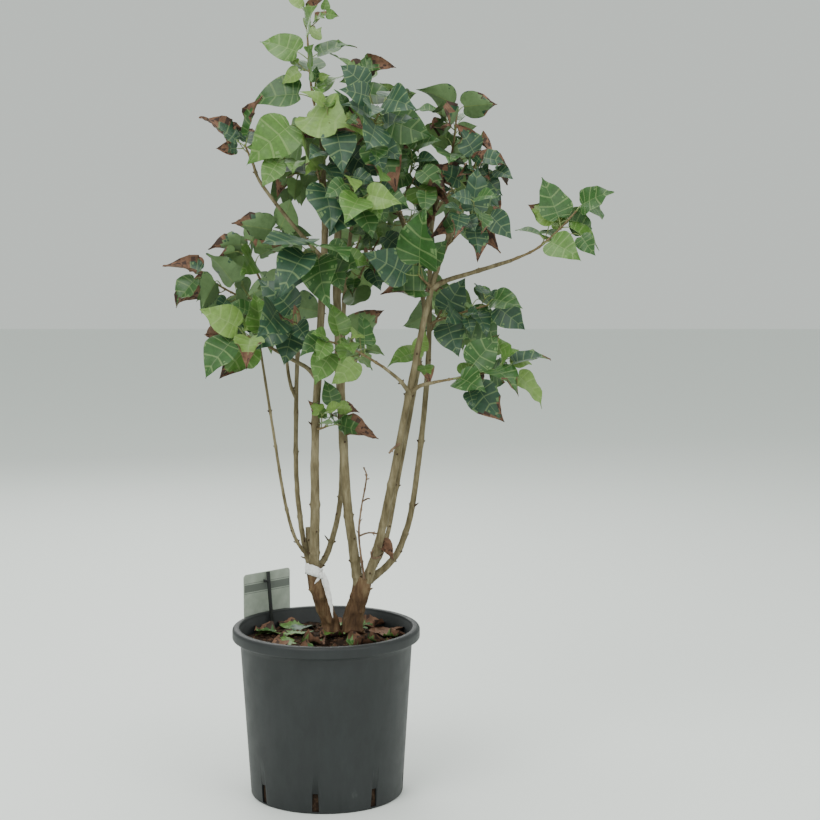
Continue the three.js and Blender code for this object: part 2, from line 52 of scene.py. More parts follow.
# Woody limbs: radius at the foot, radius at the tip, flare added at the foot, and the route.
LIMBS = {
    "trunk_left": (9.8, 9.4, 5, [
        (5, 12, 230.3), (5, 12, 244), (-2, 8, 265), (-9, 4, 285), (-15, 0, 307), (-18, 0, 330)]),
    "trunk_right": (12.4, 11.6, 5, [
        (37, 14, 230.3), (37, 14, 244), (42, 11, 268), (49, 7, 290), (56, 6, 314)]),
    "stem_3": (6.8, 3, 1.5, [
        (-17, 0, 321), (-15, -4, 404), (-13, -8, 545), (0, -4, 775), (0, 2, 853), (-3, 6, 940)]),
    "stem_2": (4, 2.6, 1, [
        (-20, 2, 324), (-28, 10, 345), (-37, 22, 390), (-44, 38, 462), (-44, 54, 574), (-40, 66, 684)]),
    "stem_2_left": (2.5, 1.7, 0, [
        (-44, 52, 566), (-54, 57, 593), (-63, 62, 656), (-81, 60, 707), (-95, 54, 739)]),
    "stem_2_stub": (3.6, 3.3, 0, [
        (-25, 10, 337), (-26, 20, 360), (-27, 26, 383)]),
    "stem_1": (2.6, 1.6, 0.8, [
        (-24, 8, 340), (-45, 0, 375), (-59, -12, 436), (-72, -22, 527), (-90, -26, 651)]),
    "stem_4": (4.4, 2.6, 1, [
        (-14, 4, 325), (1, 26, 345), (16, 52, 398), (21, 72, 469), (24, 92, 695), (36, 92, 820)]),
    "stem_5": (7, 3.6, 1.5, [
        (47, 6, 300), (39, 2, 357), (29, 0, 449), (18, 0, 702), (20, 0, 818), (33, -4, 905), (44, -6, 975)]),
    "stem_7": (6.4, 3, 1.5, [
        (59, 3, 308), (76, -8, 367), (96, -20, 461), (119, -32, 583), (153, -30, 740), (189, -20, 837)]),
    "stem_9": (5, 2.8, 1.2, [
        (62, 8, 308), (92, 22, 332), (109, 28, 360), (126, 36, 426), (146, 44, 608), (151, 40, 808),
        (166, 36, 870)]),
    "stem_8": (3.4, 2, 0.8, [
        (62, 18, 314), (83, 38, 353), (99, 52, 425), (138, 72, 645), (136, 60, 732), (118, 46, 798),
        (90, 32, 867)]),
    "dead_twig": (1.7, 0.9, 0.5, [
        (55, -8, 314), (48, -18, 376), (51, -22, 415), (59, -24, 462), (55, -24, 478)]),
    "bough_left": (3.2, 2.2, 1, [
        (-10, -8, 600), (-24, -18, 618), (-45, -34, 632), (-67, -48, 646)]),
    "bough_high_left": (2.8, 1.8, 0.8, [
        (-1, -4, 770), (-43, -18, 819), (-85, -30, 875), (-97, -34, 905)]),
    "bough_inner": (2.8, 2, 0.8, [
        (120, -34, 584), (106, -50, 604), (83, -62, 624)]),
    "bough_right": (3, 2.2, 0.8, [
        (119, -32, 582), (134, -34, 594), (156, -36, 600)]),
    "bough_long_right": (3.6, 2.4, 1, [
        (151, -30, 731), (172, -33, 742), (208, -35, 753), (262, -37, 770)]),
}

# Sprays: the twig's route, pairs of leaves, side twigs, leaf length, compass turn, droop and size of the
# youngest leaves, as in the solids, then the tone of most of its leaves and the share of browned ones.
SPRAYS = {
    "leaves_leader_tip": ([(-3, 6, 940), (-16, 2, 1003), (-20, -2, 1050), (-23, -6, 1110)],
                          5, 0, 62, 0, 0.2, 0.5, "fresh", 0.25),
    "leaves_leader_left": ([(-1, 3, 870), (-18, -20, 911), (-27, -30, 944)],
                           2, 0, 88, 20, 0.8, 0.95, "fresh", 0.5),
    "leaves_leader_front": ([(0, 1, 840), (-3, -40, 874), (-6, -68, 894)],
                            2, 1, 74, 20, 0.9, 0.9, "deep", 0.15),
    "leaves_leader_back": ([(-1, 3, 880), (-10, 44, 908), (-16, 88, 934)],
                           2, 1, 64, 40, 0.6, 0.8, "green", 0.2),
    "leaves_high_left": ([(-97, -34, 905), (-106, -37, 926)],
                         1, 0, 58, 0, 0, 1, "deep", 1),
    "leaves_second_tip": ([(44, -6, 975), (46, -7, 1000), (47, -8, 1022)],
                          3, 0, 56, 0, 0.4, 0.9, "fresh", 0.3),
    "leaves_second_left": ([(32, -4, 902), (19, -36, 936), (11, -54, 956)],
                           3, 1, 62, 45, 0.7, 0.8, "green", 0.15),
    "leaves_second_right": ([(36, -4, 918), (56, -40, 938), (74, -66, 950)],
                            2, 1, 74, 20, 0.6, 0.9, "deep", 0.1),
    "leaves_second_back": ([(34, -4, 910), (52, 44, 940), (62, 88, 962)],
                           2, 1, 62, 0, 0.6, 0.8, "green", 0.2),
    "leaves_middle_front": ([(20, 0, 822), (40, -50, 846), (56, -96, 856)],
                            3, 1, 66, 30, 0.8, 0.8, "green", 0.1),
    "leaves_middle_tip": ([(36, 92, 820), (38, 90, 862), (34, 84, 900)],
                          3, 1, 64, 40, 0.6, 0.8, "deep", 0.2),
    "leaves_middle_back": ([(30, 92, 760), (42, 132, 784), (48, 168, 800)],
                           2, 1, 62, 0, 0.7, 0.9, "green", 0.2),
    "leaves_fourth_tip": ([(90, 32, 867), (90, 30, 930), (100, 26, 990)],
                          4, 0, 54, 0, 0.5, 0.6, "green", 0.3),
    "leaves_fourth_front": ([(103, 39, 835), (118, 0, 868), (128, -30, 886)],
                            3, 1, 70, 20, 0.8, 0.8, "green", 0.35),
    "leaves_fourth_back": ([(120, 48, 792), (110, 96, 828), (100, 138, 850)],
                           2, 1, 64, 0, 0.7, 0.8, "deep", 0.2),
    "leaves_third_tip": ([(166, 36, 870), (180, 32, 920), (187, 30, 974)],
                         4, 0, 66, 150, 0.5, 0.9, "green", 0.4),
    "leaves_third_back": ([(153, 40, 830), (176, 86, 862), (186, 122, 880)],
                          2, 1, 62, 20, 0.7, 0.8, "deep", 0.2),
    "leaves_right_tip": ([(189, -20, 837), (202, -18, 875), (212, -20, 906)],
                         3, 1, 60, 0, 0.7, 0.8, "deep", 0.45),
    "leaves_right_front": ([(172, -25, 790), (196, -58, 816), (216, -80, 830)],
                           3, 0, 62, 0, 0.8, 0.9, "deep", 0.3),
    # Painted shade: the fork's leaf stands upright in the light, and its deep tone stands in for the half
    # shade it lies in.
    "leaves_fork": ([(151, -30, 732), (140, -46, 742), (133, -54, 750)],
                    1, 0, 84, 0, -0.3, 1, "deep", 0.2),
    "leaves_far_right": ([(262, -37, 770), (296, -39, 786), (326, -42, 812), (350, -44, 838)],
                         3, 0, 72, 90, 0.5, 1, "fresh", 0.35),
    "leaves_side_right": ([(148, 43, 676), (180, 6, 690), (229, -12, 706)],
                          4, 0, 60, 0, 0.6, 0.9, "deep", 0.15),
    "leaves_low_right": ([(156, -36, 600), (196, -41, 608), (254, -50, 620)],
                         4, 0, 56, 0, 0.35, 1, "green", 0.35),
    "leaves_low_middle": ([(146, 44, 604), (138, 2, 618), (132, -6, 634)],
                          2, 0, 44, 30, 0.5, 0.9, "fresh", 0.1),
    "leaves_inner": ([(83, -62, 624), (45, -74, 648), (10, -82, 661)],
                     4, 0, 52, 90, 0.6, 0.9, "fresh", 0.15),
    "leaves_left_tip": ([(-67, -48, 646), (-90, -60, 661), (-108, -68, 668)],
                        3, 0, 62, 0, 0.7, 1, "fresh", 0.35),
    "leaves_far_left": ([(-81, 60, 707), (-122, 36, 716), (-168, 18, 742)],
                        4, 0, 54, 0, 0.9, 1, "deep", 0.35),
    "leaves_stem_2_left": ([(-95, 54, 739), (-104, 50, 760), (-112, 46, 782)],
                           3, 0, 54, 0, 0.5, 0.9, "green", 0.4),
    "leaves_stem_2_tip": ([(-40, 66, 684), (-54, 44, 750), (-66, 30, 800)],
                          3, 0, 58, 0, 0.6, 0.9, "deep", 0.3),
    "leaves_green_shoot": ([(-10, -8, 660), (-36, -36, 681), (-60, -52, 692)],
                           2, 0, 78, 0, 0.7, 0.9, "deep", 0.1),
    "leaves_front_low": ([(-1, -4, 764), (-6, -58, 776), (-12, -96, 784)],
                         3, 0, 78, 20, 1, 0.9, "green", 0.1),
    "leaves_inner_twig": ([(24, 92, 706), (45, 30, 736), (57, 4, 762), (76, -12, 797)],
                          4, 0, 58, 0, 0.8, 0.8, "green", 0.1),
    "leaves_low_pair": ([(-13, -8, 530), (-4, -22, 533), (3, -26, 536)],
                        1, 0, 54, 0, 0.35, 1, "green", 0.6),
    "leaves_stem_1": ([(-90, -26, 651), (-92, -27, 672), (-94, -30, 690)],
                      2, 0, 42, 0, 0.6, 0.9, "green", 0.3),
    "leaves_back_right": ([(147, 44, 660), (166, 100, 690), (178, 148, 712)],
                          3, 1, 60, 0, 0.7, 0.8, "green", 0.25),
    "leaves_back_left": ([(-41, 64, 664), (-66, 112, 696), (-84, 154, 722)],
                         3, 1, 60, 0, 0.7, 0.8, "deep", 0.25),
    "leaves_back_low": ([(24, 88, 610), (30, 124, 634), (34, 160, 652)],
                        2, 0, 58, 30, 0.7, 0.8, "green", 0.2),
}

# The rule's own proportions, as in the solids.
LEAF = dict(half=[(-0.05, 0.2), (0.2, 0.42), (0.66, 0.26)], middle=0.34, stalk=0.3)
TWIG = dict(foot=1.9, tip=1.2, side_foot=1.32, side=0.95, bare=0.1)
AIR = dict(leaf=2.6, limb=1.6)
TRIES = 5
CROWN_MIDDLE = 24
LIGHT = dict(side=0.8, up=0.6)

# Seeds of the draws: the first number of each kind of limb or leaf, and one seed each for chips and litter.
SEEDS = dict(trunk=60, stem=80, dead=140, twig=200, shoot=700, lobed=60, chips=4242, litter=909,
             fallen=5000, odd=7000)

# The finer leaf: rows as (midrib place, margin along, margin across) in leaf lengths.
MARGIN = [
    (0, -0.045, 0.1), (0.02, -0.06, 0.21), (0.06, 0.02, 0.335), (0.12, 0.14, 0.405), (0.22, 0.3, 0.415),
    (0.36, 0.48, 0.355), (0.52, 0.65, 0.25), (0.7, 0.8, 0.13), (0.86, 0.92, 0.045), (1, 1, 0),
]
BLADE = dict(veins=5, thick=0.35, midrib=0.55, columns=(0.3, 0.6, 0.86, 1))

# ---- Small helpers ----


def mix(a, b, t):
    return a + (b - a) * t


def unit(v):
    return v / np.linalg.norm(v, axis=-1, keepdims=True)


def seeded(number):
    """The source's generator: the same number gives the same draws."""
    mask = 0xFFFFFFFF
    state = number * 2654435761 & mask

    def draw():
        nonlocal state
        state = state + 0x6D2B79F5 & mask
        t = (state ^ state >> 15) * (state | 1) & mask
        t = (t + ((t ^ t >> 7) * (t | 61) & mask) ^ t) & mask
        return (t ^ t >> 14) / 4294967296

    return draw


def grain(x, y, z):
    """Smooth noise, from about -1 to 1."""
    return noise.noise(Vector((x, y, z)))


def circle(sides):
    """Angles once round, in equal steps."""
    return np.arange(sides) * 2 * pi / sides


def hoop(r, z, sides):
    """A level ring of points."""
    return [(r * cos(q), r * sin(q), z) for q in circle(sides)]


def spokes(first, second, sides):
    """Directions once round each point of a limb, in the plane of first and second."""
    angle = circle(sides)[:, None]
    return np.cos(angle) * first[..., None, :] + np.sin(angle) * second[..., None, :]


class Skin:
    """Points, faces and each face's material, gathered for one joined mesh."""

    def __init__(self, name, slot, materials, body_nodes):
        self.name, self.slot, self.nodes = name, slot, body_nodes
        self.materials = materials
        self.points, self.faces, self.looks = [], [], []
        self.count = 0

    def grid(self, points, look, round_it=False, flip=False):
        """A sheet of quads over rows and columns of points. look is one material or one for each quad."""
        rows, columns = points.shape[:2]
        number = self.count + np.arange(rows * columns).reshape(rows, columns)
        if round_it:
            number = np.hstack([number, number[:, :1]])
        quads = np.stack([number[:-1, :-1], number[:-1, 1:], number[1:, 1:], number[1:, :-1]], -1)
        quads = quads.reshape(-1, 4)
        self.faces += (quads[:, ::-1] if flip else quads).tolist()
        self.looks += np.broadcast_to(look, (rows - 1, number.shape[1] - 1)).reshape(-1).tolist()
        self.points.append(points.reshape(-1, 3))
        self.count += rows * columns

    def cap(self, ring, look, flip=False):
        """A flat face over one ring of points."""
        number = list(range(self.count, self.count + len(ring)))
        self.faces.append(number[::-1] if flip else number)
        self.looks.append(look)
        self.points.append(np.asarray(ring, float))
        self.count += len(ring)

    def solid(self, points, faces, look):
        """A small closed shape from its points and faces."""
        self.faces += [[self.count + i for i in face] for face in faces]
        self.looks += [look] * len(faces)
        self.points.append(np.asarray(points, float))
        self.count += len(points)

    def make(self, smooth=True):
        mesh = bpy.data.meshes.new(self.name)
        points = np.concatenate(self.points) * MM
        mesh.from_pydata(points.tolist(), [], self.faces)
        mesh.polygons.foreach_set("material_index", self.looks)
        mesh.polygons.foreach_set("use_smooth", [smooth] * len(self.faces))
        mesh.update()
        return place(self.name, mesh, self.materials, self.nodes)


def put(name, data):
    """A new object in the scene."""
    thing = bpy.data.objects.new(name, data)
    bpy.context.scene.collection.objects.link(thing)
    return thing


def place(name, mesh, materials, nodes=()):
    """Puts a mesh in the scene as a piece that rides on the part's one body."""
    piece = put(name, mesh)
    for material in materials:
        mesh.materials.append(material)
    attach(piece, "root")
    if nodes:
        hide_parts(*nodes)
    return piece


# ---- Materials ----


def set_inputs(node, **values):
    """Constant values on the node's sockets."""
    for socket, value in values.items():
        node.inputs[socket.replace("_", " ")].default_value = value


def new_material(name, color, roughness, **sockets):
    """A Principled material: constant values sit on the shader's own sockets."""
    material = bpy.data.materials.new(name)
    material.use_nodes = True
    shader = material.node_tree.nodes["Principled BSDF"]
    set_inputs(shader, Base_Color=(*color, 1), Roughness=roughness, **sockets)
    return material


def add_node(material, kind, source, socket, **values):
    """A node that takes the source on one socket and constant values on others."""
    node = material.node_tree.nodes.new(f"ShaderNode{kind}")
    set_inputs(node, **values)
    material.node_tree.links.new(source, node.inputs[socket])
    return node


def feed(material, source, socket):
    """Joins a pattern to one of the shader's own sockets."""
    tree = material.node_tree
    tree.links.new(source, tree.nodes["Principled BSDF"].inputs[socket])


def mapped_noise(material, scale, stretch=(1, 1, 1), detail=4, roughness=0.55):
    """Noise in the piece's own coordinates, squeezed by stretch."""
    where = material.node_tree.nodes.new("ShaderNodeTexCoord").outputs["Object"]
    squeezed = add_node(material, "Mapping", where, "Vector", Scale=stretch).outputs["Vector"]
    pattern = add_node(material, "TexNoise", squeezed, "Vector",
                       Scale=scale, Detail=detail, Roughness=roughness)
    return pattern.outputs["Fac"]


def tint(material, source, stops):
    """Colour that follows the pattern from stop to stop."""
    node = add_node(material, "ValToRGB", source, "Fac")
    band = node.color_ramp
    while len(band.elements) < len(stops):
        band.elements.new(0.5)
    for element, (at, color) in zip(band.elements, stops):
        element.position = at
        element.color = (*color, 1)
    feed(material, node.outputs["Color"], "Base Color")


def bump(material, source, depth, strength):
    """Fine relief that follows the pattern, depth in metres."""
    node = add_node(material, "Bump", source, "Height", Strength=strength, Distance=depth)
    feed(material, node.outputs["Normal"], "Normal")


def rough(material, source, low, high):
    """Roughness that the pattern carries between low and high."""
    node = add_node(material, "MapRange", source, "Value", To_Min=low, To_Max=high)
    feed(material, node.outputs["Result"], "Roughness")


def shade(color, factor):
    return tuple(min(1, c * factor) for c in color)


def leaf_material(name, color, roughness, spread=0.22):
    """A leaf skin: fine mottling close to one colour, and a soft grain."""
    material = new_material(name, color, roughness, Specular_IOR_Level=0.4)
    mottle = mapped_noise(material, 160, detail=6, roughness=0.65)
    tint(material, mottle, [(0.3, shade(color, 1 - spread)), (0.7, shade(color, 1 + spread))])
    bump(material, mapped_noise(material, 900, detail=2), 0.0003, 0.35)
    return material


# Tones of a leaf's upper side, from dark to pale.
LEAF_TONES = {
    "deep": (0.022, 0.064, 0.032), "green": (0.03, 0.092, 0.018), "fresh": (0.075, 0.168, 0.028),
    "young": (0.15, 0.26, 0.055),
}
# Barks and bare wood: the material's name, its dark, middle and light tone, and the scale of its streaks.
BARKS = {
    "twig": ("twig_bark", (0.085, 0.06, 0.03), (0.15, 0.11, 0.055), (0.21, 0.17, 0.09), 14),
    "shoot": ("shoot_bark", (0.1, 0.1, 0.035), (0.15, 0.155, 0.055), (0.2, 0.2, 0.08), 10),
    "bark": ("stem_bark", (0.075, 0.058, 0.027), (0.155, 0.128, 0.07), (0.25, 0.215, 0.13), 9),
    "scar": ("leaf_scar", (0.03, 0.017, 0.01), (0.06, 0.035, 0.02), (0.1, 0.065, 0.04), 10),
    "trunk": ("trunk_bark", (0.04, 0.022, 0.012), (0.105, 0.06, 0.03), (0.2, 0.14, 0.075), 6),
    "dead": ("dead_wood", (0.07, 0.04, 0.025), (0.15, 0.095, 0.06), (0.24, 0.17, 0.11), 8),
    "cut": ("cut_wood", (0.16, 0.11, 0.06), (0.3, 0.22, 0.13), (0.38, 0.3, 0.19), 12),
}


def make_materials():
    made = {}
    for name, color in LEAF_TONES.items():
        vein = mix_color(color, (0.3, 0.4, 0.16), 0.3)
        under = mix_color(color, (0.17, 0.27, 0.1), 0.62)
        made[name] = leaf_material(f"leaf_{name}", color, 0.42)
        made[f"{name}_vein"] = leaf_material(f"leaf_{name}_vein", vein, 0.5, 0.1)
        made[f"{name}_under"] = leaf_material(f"leaf_{name}_under", under, 0.62, 0.15)
    made["dry"] = leaf_material("leaf_dry", (0.15, 0.078, 0.045), 0.8, 0.45)
    made["dry_dark"] = leaf_material("leaf_dry_dark", (0.045, 0.024, 0.016), 0.75, 0.4)
    made["stalk"] = leaf_material("leaf_stalk", (0.17, 0.23, 0.07), 0.5, 0.2)
    for key, (name, *tones, scale) in BARKS.items():
        made[key] = bark_material(name, tones, scale)
    made["plastic"] = plastic_material()
    made["soil"] = soil_material("soil", [(0.008, 0.005, 0.003), (0.03, 0.017, 0.01), (0.08, 0.05, 0.03)])
    made["chip"] = soil_material("bark_chip", [(0.03, 0.016, 0.01), (0.085, 0.045, 0.026), (0.17, 0.1, 0.06)])
    made["card"] = new_material("label_card", (0.42, 0.47, 0.40), 0.45)
    tint(made["card"], mapped_noise(made["card"], 70),
         [(0.35, (0.36, 0.41, 0.345)), (0.7, (0.47, 0.52, 0.45))])
    made["band"] = new_material("label_band", (0.16, 0.18, 0.16), 0.5)
    made["stick"] = new_material("label_stick", (0.008, 0.01, 0.009), 0.4)
    bump(made["stick"], mapped_noise(made["stick"], 400), 0.0002, 0.3)
    made["paper"] = new_material("paper", (0.76, 0.77, 0.75), 0.85)
    tint(made["paper"], mapped_noise(made["paper"], 150),
         [(0.3, (0.6, 0.6, 0.58)), (0.6, (0.84, 0.84, 0.82))])
    bump(made["paper"], mapped_noise(made["paper"], 260, detail=3), 0.0008, 0.7)
    return made


def mix_color(a, b, t):
    return tuple(mix(x, y, t) for x, y in zip(a, b))


def bark_material(name, tones, scale):
    """Bark streaked along the stems, darker in its furrows."""
    material = new_material(name, tones[1], 0.85, Specular_IOR_Level=0.25)
    streaks = mapped_noise(material, scale * 14, stretch=(1, 1, 0.22), detail=7, roughness=0.68)
    tint(material, streaks, [(0.32, tones[0]), (0.5, tones[1]), (0.68, tones[2])])
    bump(material, mapped_noise(material, scale * 40, stretch=(1, 1, 0.3), detail=5), 0.0007, 0.8)
    return material


def soil_material(name, tones):
    material = new_material(name, tones[1], 0.95, Specular_IOR_Level=0.2)
    tint(material, mapped_noise(material, 120, detail=8, roughness=0.7),
         [(0.36, tones[0]), (0.52, tones[1]), (0.7, tones[2])])
    bump(material, mapped_noise(material, 300, detail=6), 0.002, 0.9)
    return material


def plastic_material():
    """Black moulded plastic with dusty scuffs and a soft sheen."""
    material = new_material("pot_plastic", (0.012, 0.0145, 0.0155), 0.48, Specular_IOR_Level=0.45)
    scuffs = mapped_noise(material, 26, stretch=(1, 1, 0.35), detail=10, roughness=0.72)
    tint(material, scuffs,
         [(0.4, (0.0095, 0.0118, 0.0125)), (0.66, (0.016, 0.019, 0.02)), (0.8, (0.05, 0.055, 0.053))])
    rough(material, mapped_noise(material, 45, detail=6), 0.4, 0.62)
    bump(material, mapped_noise(material, 600, detail=3), 0.0003, 0.25)
    return material


# ---- Limbs ----


class Limb:
    """A tapering limb on a smooth curve through its route."""

    def __init__(self, foot, tip, flare, route):
        p = np.array(route, float)
        self.foot, self.tip, self.flare = foot, tip, flare
        self.guides = np.vstack([2 * p[0] - p[1], p, 2 * p[-1] - p[-2]])
        self.spans = len(p) - 1
        self.overall = unit(p[-1] - p[0])
        self.length = np.linalg.norm(np.diff(self.at(np.linspace(0, 1, 201)), axis=0), axis=1).sum()

    def at(self, t):
        go = np.asarray(t, float) * self.spans
        i = np.minimum(np.floor(go).astype(int), self.spans - 1)
        w = (go - i)[..., None]
        p0, p1, p2, p3 = (self.guides[i + k] for k in range(4))
        t0, t1 = 0.5 * (p2 - p0), 0.5 * (p3 - p1)
        return p1 + t0 * w + (3 * (p2 - p1) - 2 * t0 - t1) * w**2 + (2 * (p1 - p2) + t0 + t1) * w**3

    def along(self, t):
        step = 1e-4
        t = np.asarray(t, float)
        return unit(self.at(np.minimum(1, t + step)) - self.at(np.maximum(0, t - step)))

    def radius(self, t):
        t = np.asarray(t, float)
        return mix(self.foot, self.tip, t) + self.flare * np.exp(-t * self.length / (3 * self.foot))

    def axes(self, t):
        """The point at t, the way along, the compass zero and the way at right angles to both.

        The compass zero is +X on an upright limb and +Z on a level one.
        """
        along = self.along(t)
        zero = np.array([1.0, 0, 0]) if abs(self.overall[0]) < 0.8 else np.array([0, 0, 1.0])
        first = unit(zero - along * (along @ zero)[..., None])
        return self.at(t), along, first, np.cross(along, first)


def stretches(limb, count):
    """The limb as straight stretches with their mean radius, for the clearance tests."""
    points = limb.at(np.arange(count + 1) / count)
    return points[:-1], points[1:], limb.radius((np.arange(count) + 0.5) / count)


def all_wood(limbs, sprays):
    """The stretches of all limbs and twigs together."""
    pieces = [stretches(limb, 16) for limb in limbs.values()]
    pieces += [stretches(shoot["limb"], 5) for spray in sprays for shoot in spray["shoots"]]
    return tuple(np.concatenate(column) for column in zip(*pieces))


# ---- The rule: twigs and leaves ----


def node_on(limb, t):
    at, along, first, second = limb.axes(t)
    return dict(at=at, along=along, first=first, second=second, last=t > 0.999)


def turned(v, axis, angle):
    return v * cos(angle) + np.cross(axis, v) * sin(angle) + axis * (axis @ v) * (1 - cos(angle))


def blade_point(leaf, along, wide):
    rise = leaf["fold"] * abs(wide) - leaf["curl"] * along * along
    way = along * leaf["along"] + wide * leaf["side"] + rise * leaf["face"]
    return leaf["base"] + leaf["length"] * way


def make_leaf(node, azimuth, droop, size, draw):
    """One leaf of a pair, with the draws in the source's order."""
    spread = radians(mix(38, 66, draw()) * (0.7 if node["last"] else 1))
    angle = radians(azimuth + mix(-16, 16, draw()))
    out = node["first"] * cos(angle) + node["second"] * sin(angle)
    stalk = node["along"] * cos(spread) + out * sin(spread)
    along = stalk.copy()
    along[2] -= droop * mix(0.5, 1.5, draw())
    along = unit(along)
    leaf = dict(foot=node["at"], along=along, length=size * mix(0.7, 1.12, draw()))
    leaf["base"] = node["at"] + stalk * leaf["length"] * LEAF["stalk"] * mix(0.8, 1.2, draw())
    near = -1 if node["at"][1] < CROWN_MIDDLE else 1
    face = np.array([mix(-0.4, 0.4, draw()), near * LIGHT["side"], LIGHT["up"]])
    face = turned(unit(face - along * (face @ along)), along, radians(mix(-38, 38, draw())))
    leaf.update(face=face, side=np.cross(face, along), fold=mix(0.1, 0.34, draw()), curl=mix(0, 0.26, draw()))
    left = [blade_point(leaf, a, w) for a, w in LEAF["half"]]
    right = [blade_point(leaf, a, -w) for a, w in reversed(LEAF["half"])]
    rim = np.array([leaf["base"], *left, blade_point(leaf, 1, 0), *right])
    leaf["middle"] = blade_point(leaf, LEAF["middle"], 0)
    after = np.roll(rim, -1, axis=0)
    flat = np.stack([np.broadcast_to(leaf["middle"], rim.shape), rim, after], 1)
    leaf["rim"] = rim
    leaf["fan"] = flat
    leaf["fans"] = np.concatenate([flat + shift * face for shift in (-AIR["leaf"], 0, AIR["leaf"])])
    tip = rim[len(left) + 1]
    spine = [(leaf["base"], leaf["middle"]), (leaf["middle"], tip), (leaf["foot"], leaf["base"])]
    leaf["starts"] = np.vstack([rim, [a for a, _ in spine]])
    leaf["ends"] = np.vstack([after, [b for _, b in spine]])
    return leaf


def any_cross(starts, ends, triangles):
    """Whether any straight line from a start to its end passes through any of the triangles."""
    line = ends - starts
    length = np.linalg.norm(line, axis=1)
    way = (line / length[:, None])[:, None]
    a, b, c = triangles[None, :, 0], triangles[None, :, 1], triangles[None, :, 2]
    one, two = b - a, c - a
    normal = np.cross(one, two)
    slope = (way * normal).sum(-1)
    sign = np.sign(slope)
    slope = np.abs(slope)
    gap = starts[:, None] - a
    u = sign * (way * np.cross(gap, two)).sum(-1)
    v = sign * (way * np.cross(one, gap)).sum(-1)
    far = -sign * (gap * normal).sum(-1)
    inside = (slope > 0) & (u >= 0) & (v >= 0) & (u + v <= slope) & (far >= 0)
    return bool((inside & (far <= slope * length[:, None])).any())


def touches_leaves(leaf, grown):
    near = [o for o in grown if np.linalg.norm(o["middle"] - leaf["middle"]) <= o["length"] + leaf["length"]]
    if not near:
        return False
    if any_cross(leaf["starts"], leaf["ends"], np.concatenate([o["fans"] for o in near])):
        return True
    starts = np.concatenate([o["starts"] for o in near])
    ends = np.concatenate([o["ends"] for o in near])
    return any_cross(starts, ends, leaf["fans"])


def touches_wood(leaf, wood):
    a, b, radius = wood
    reach = leaf["length"] + np.linalg.norm(b - a, axis=1) + radius
    near = np.linalg.norm(a - leaf["middle"], axis=1) <= reach
    if not near.any():
        return False
    a, b, radius = a[near], b[near], radius[near]
    if any_cross(a, b, leaf["fan"]):
        return True
    points = np.vstack([leaf["rim"], leaf["middle"]])[:, None]
    line = b - a
    t = np.clip(((points - a) * line).sum(-1) / (line * line).sum(-1), 0, 1)
    gap = np.linalg.norm(a + t[..., None] * line - points, axis=-1)
    return bool((gap < radius + AIR["limb"]).any())


def grow_twigs(row, index):
    """The main twig and the side twigs that leave its lower nodes."""
    route, pairs, sides, size, turn = row[:5]
    draw = seeded(SEED * 1000 + index)
    main = Limb(TWIG["foot"], TWIG["tip"], 0, route)
    shoots = [dict(limb=main, pairs=pairs, leaf=size)]
    for i in range(sides):
        node = node_on(main, mix(0.3, 0.5, draw()))
        angle = radians(turn + 45 + 180 * i + mix(-60, 60, draw()))
        out = node["first"] * cos(angle) + node["second"] * sin(angle)
        way = unit(node["along"] + out * mix(0.9, 1.5, draw()))
        tip = node["at"] + way * size * mix(0.7, 0.95, draw())
        bend = (node["at"] + tip) / 2 - np.array([0, 0, 0.05 * size])
        side = Limb(TWIG["side_foot"], TWIG["side"], 0, [node["at"], bend, tip])
        shoots.append(dict(limb=side, pairs=2, leaf=0.86 * size))
    return shoots


def grow_leaves(row, index, shoots, wood, grown):
    """Pairs of leaves, each pair turned a quarter from the last. A leaf that finds no room is skipped."""
    turn, droop, young = row[4:7]
    leaves = []
    for branch, shoot in enumerate(shoots):
        for k in range(shoot["pairs"]):
            t = 1 - (1 - TWIG["bare"]) * k / max(shoot["pairs"], 2)
            node = node_on(shoot["limb"], t)
            size = shoot["leaf"] * mix(young, 1, min(1, k / 2))
            for half in range(2):
                azimuth = turn + 90 * (k + branch) + 180 * half
                number = index * 100 + branch * 40 + k * 2 + half + 7
                leaf = first_clear(node, azimuth, droop, size, seeded(SEED * 1000 + number), wood, grown)
                if leaf is None:
                    continue
                leaf.update(number=number, age=k / max(shoot["pairs"], 2))
                leaves.append(leaf)
                grown.append(leaf)
    return leaves


def first_clear(node, azimuth, droop, size, draw, wood, grown):
    for _ in range(TRIES):
        leaf = make_leaf(node, azimuth, droop, size, draw)
        if not touches_wood(leaf, wood) and not touches_leaves(leaf, grown):
            return leaf
    return None


def grow_crown(limbs):
    """Every spray's shoots and leaves, in the source's order."""
    sprays = []
    for index, (name, row) in enumerate(SPRAYS.items()):
        sprays.append(dict(name=name, row=row, index=index, shoots=grow_twigs(row, index)))
    wood = all_wood(limbs, sprays)
    grown = []
    for spray in sprays:
        spray["leaves"] = grow_leaves(spray["row"], spray["index"], spray["shoots"], wood, grown)
    return sprays


# ---- Leaves as meshes ----

LEAF_LOOKS = [tone + part for tone in LEAF_TONES for part in ("", "_vein", "_under")]
LEAF_LOOKS += ["dry", "dry_dark", "stalk"]
LOOK = {look: i for i, look in enumerate(LEAF_LOOKS)}
NEIGHBOURS = {"deep": ["green", "deep"], "green": ["deep", "fresh"], "fresh": ["green", "young"]}
# How dry a spot is, from 0 to 1, when it turns brown.
TURNS_BROWN = 0.4


def margin_rows():
    """Places of a blade's rows: each side vein has a narrow strip, with one row between two veins."""
    near_base, first, last, near_tip = 0.085, 0.17, 0.8, 0.95
    half_vein = 0.012
    gap = (last - first) / (BLADE["veins"] - 1)
    rows, on_vein = [0, near_base], []
    for i in range(BLADE["veins"]):
        vein = first + gap * i
        on_vein.append(len(rows))
        rows += [vein - half_vein, vein + half_vein, vein + gap / 2]
    return np.array([*rows, near_tip, 1]), on_vein


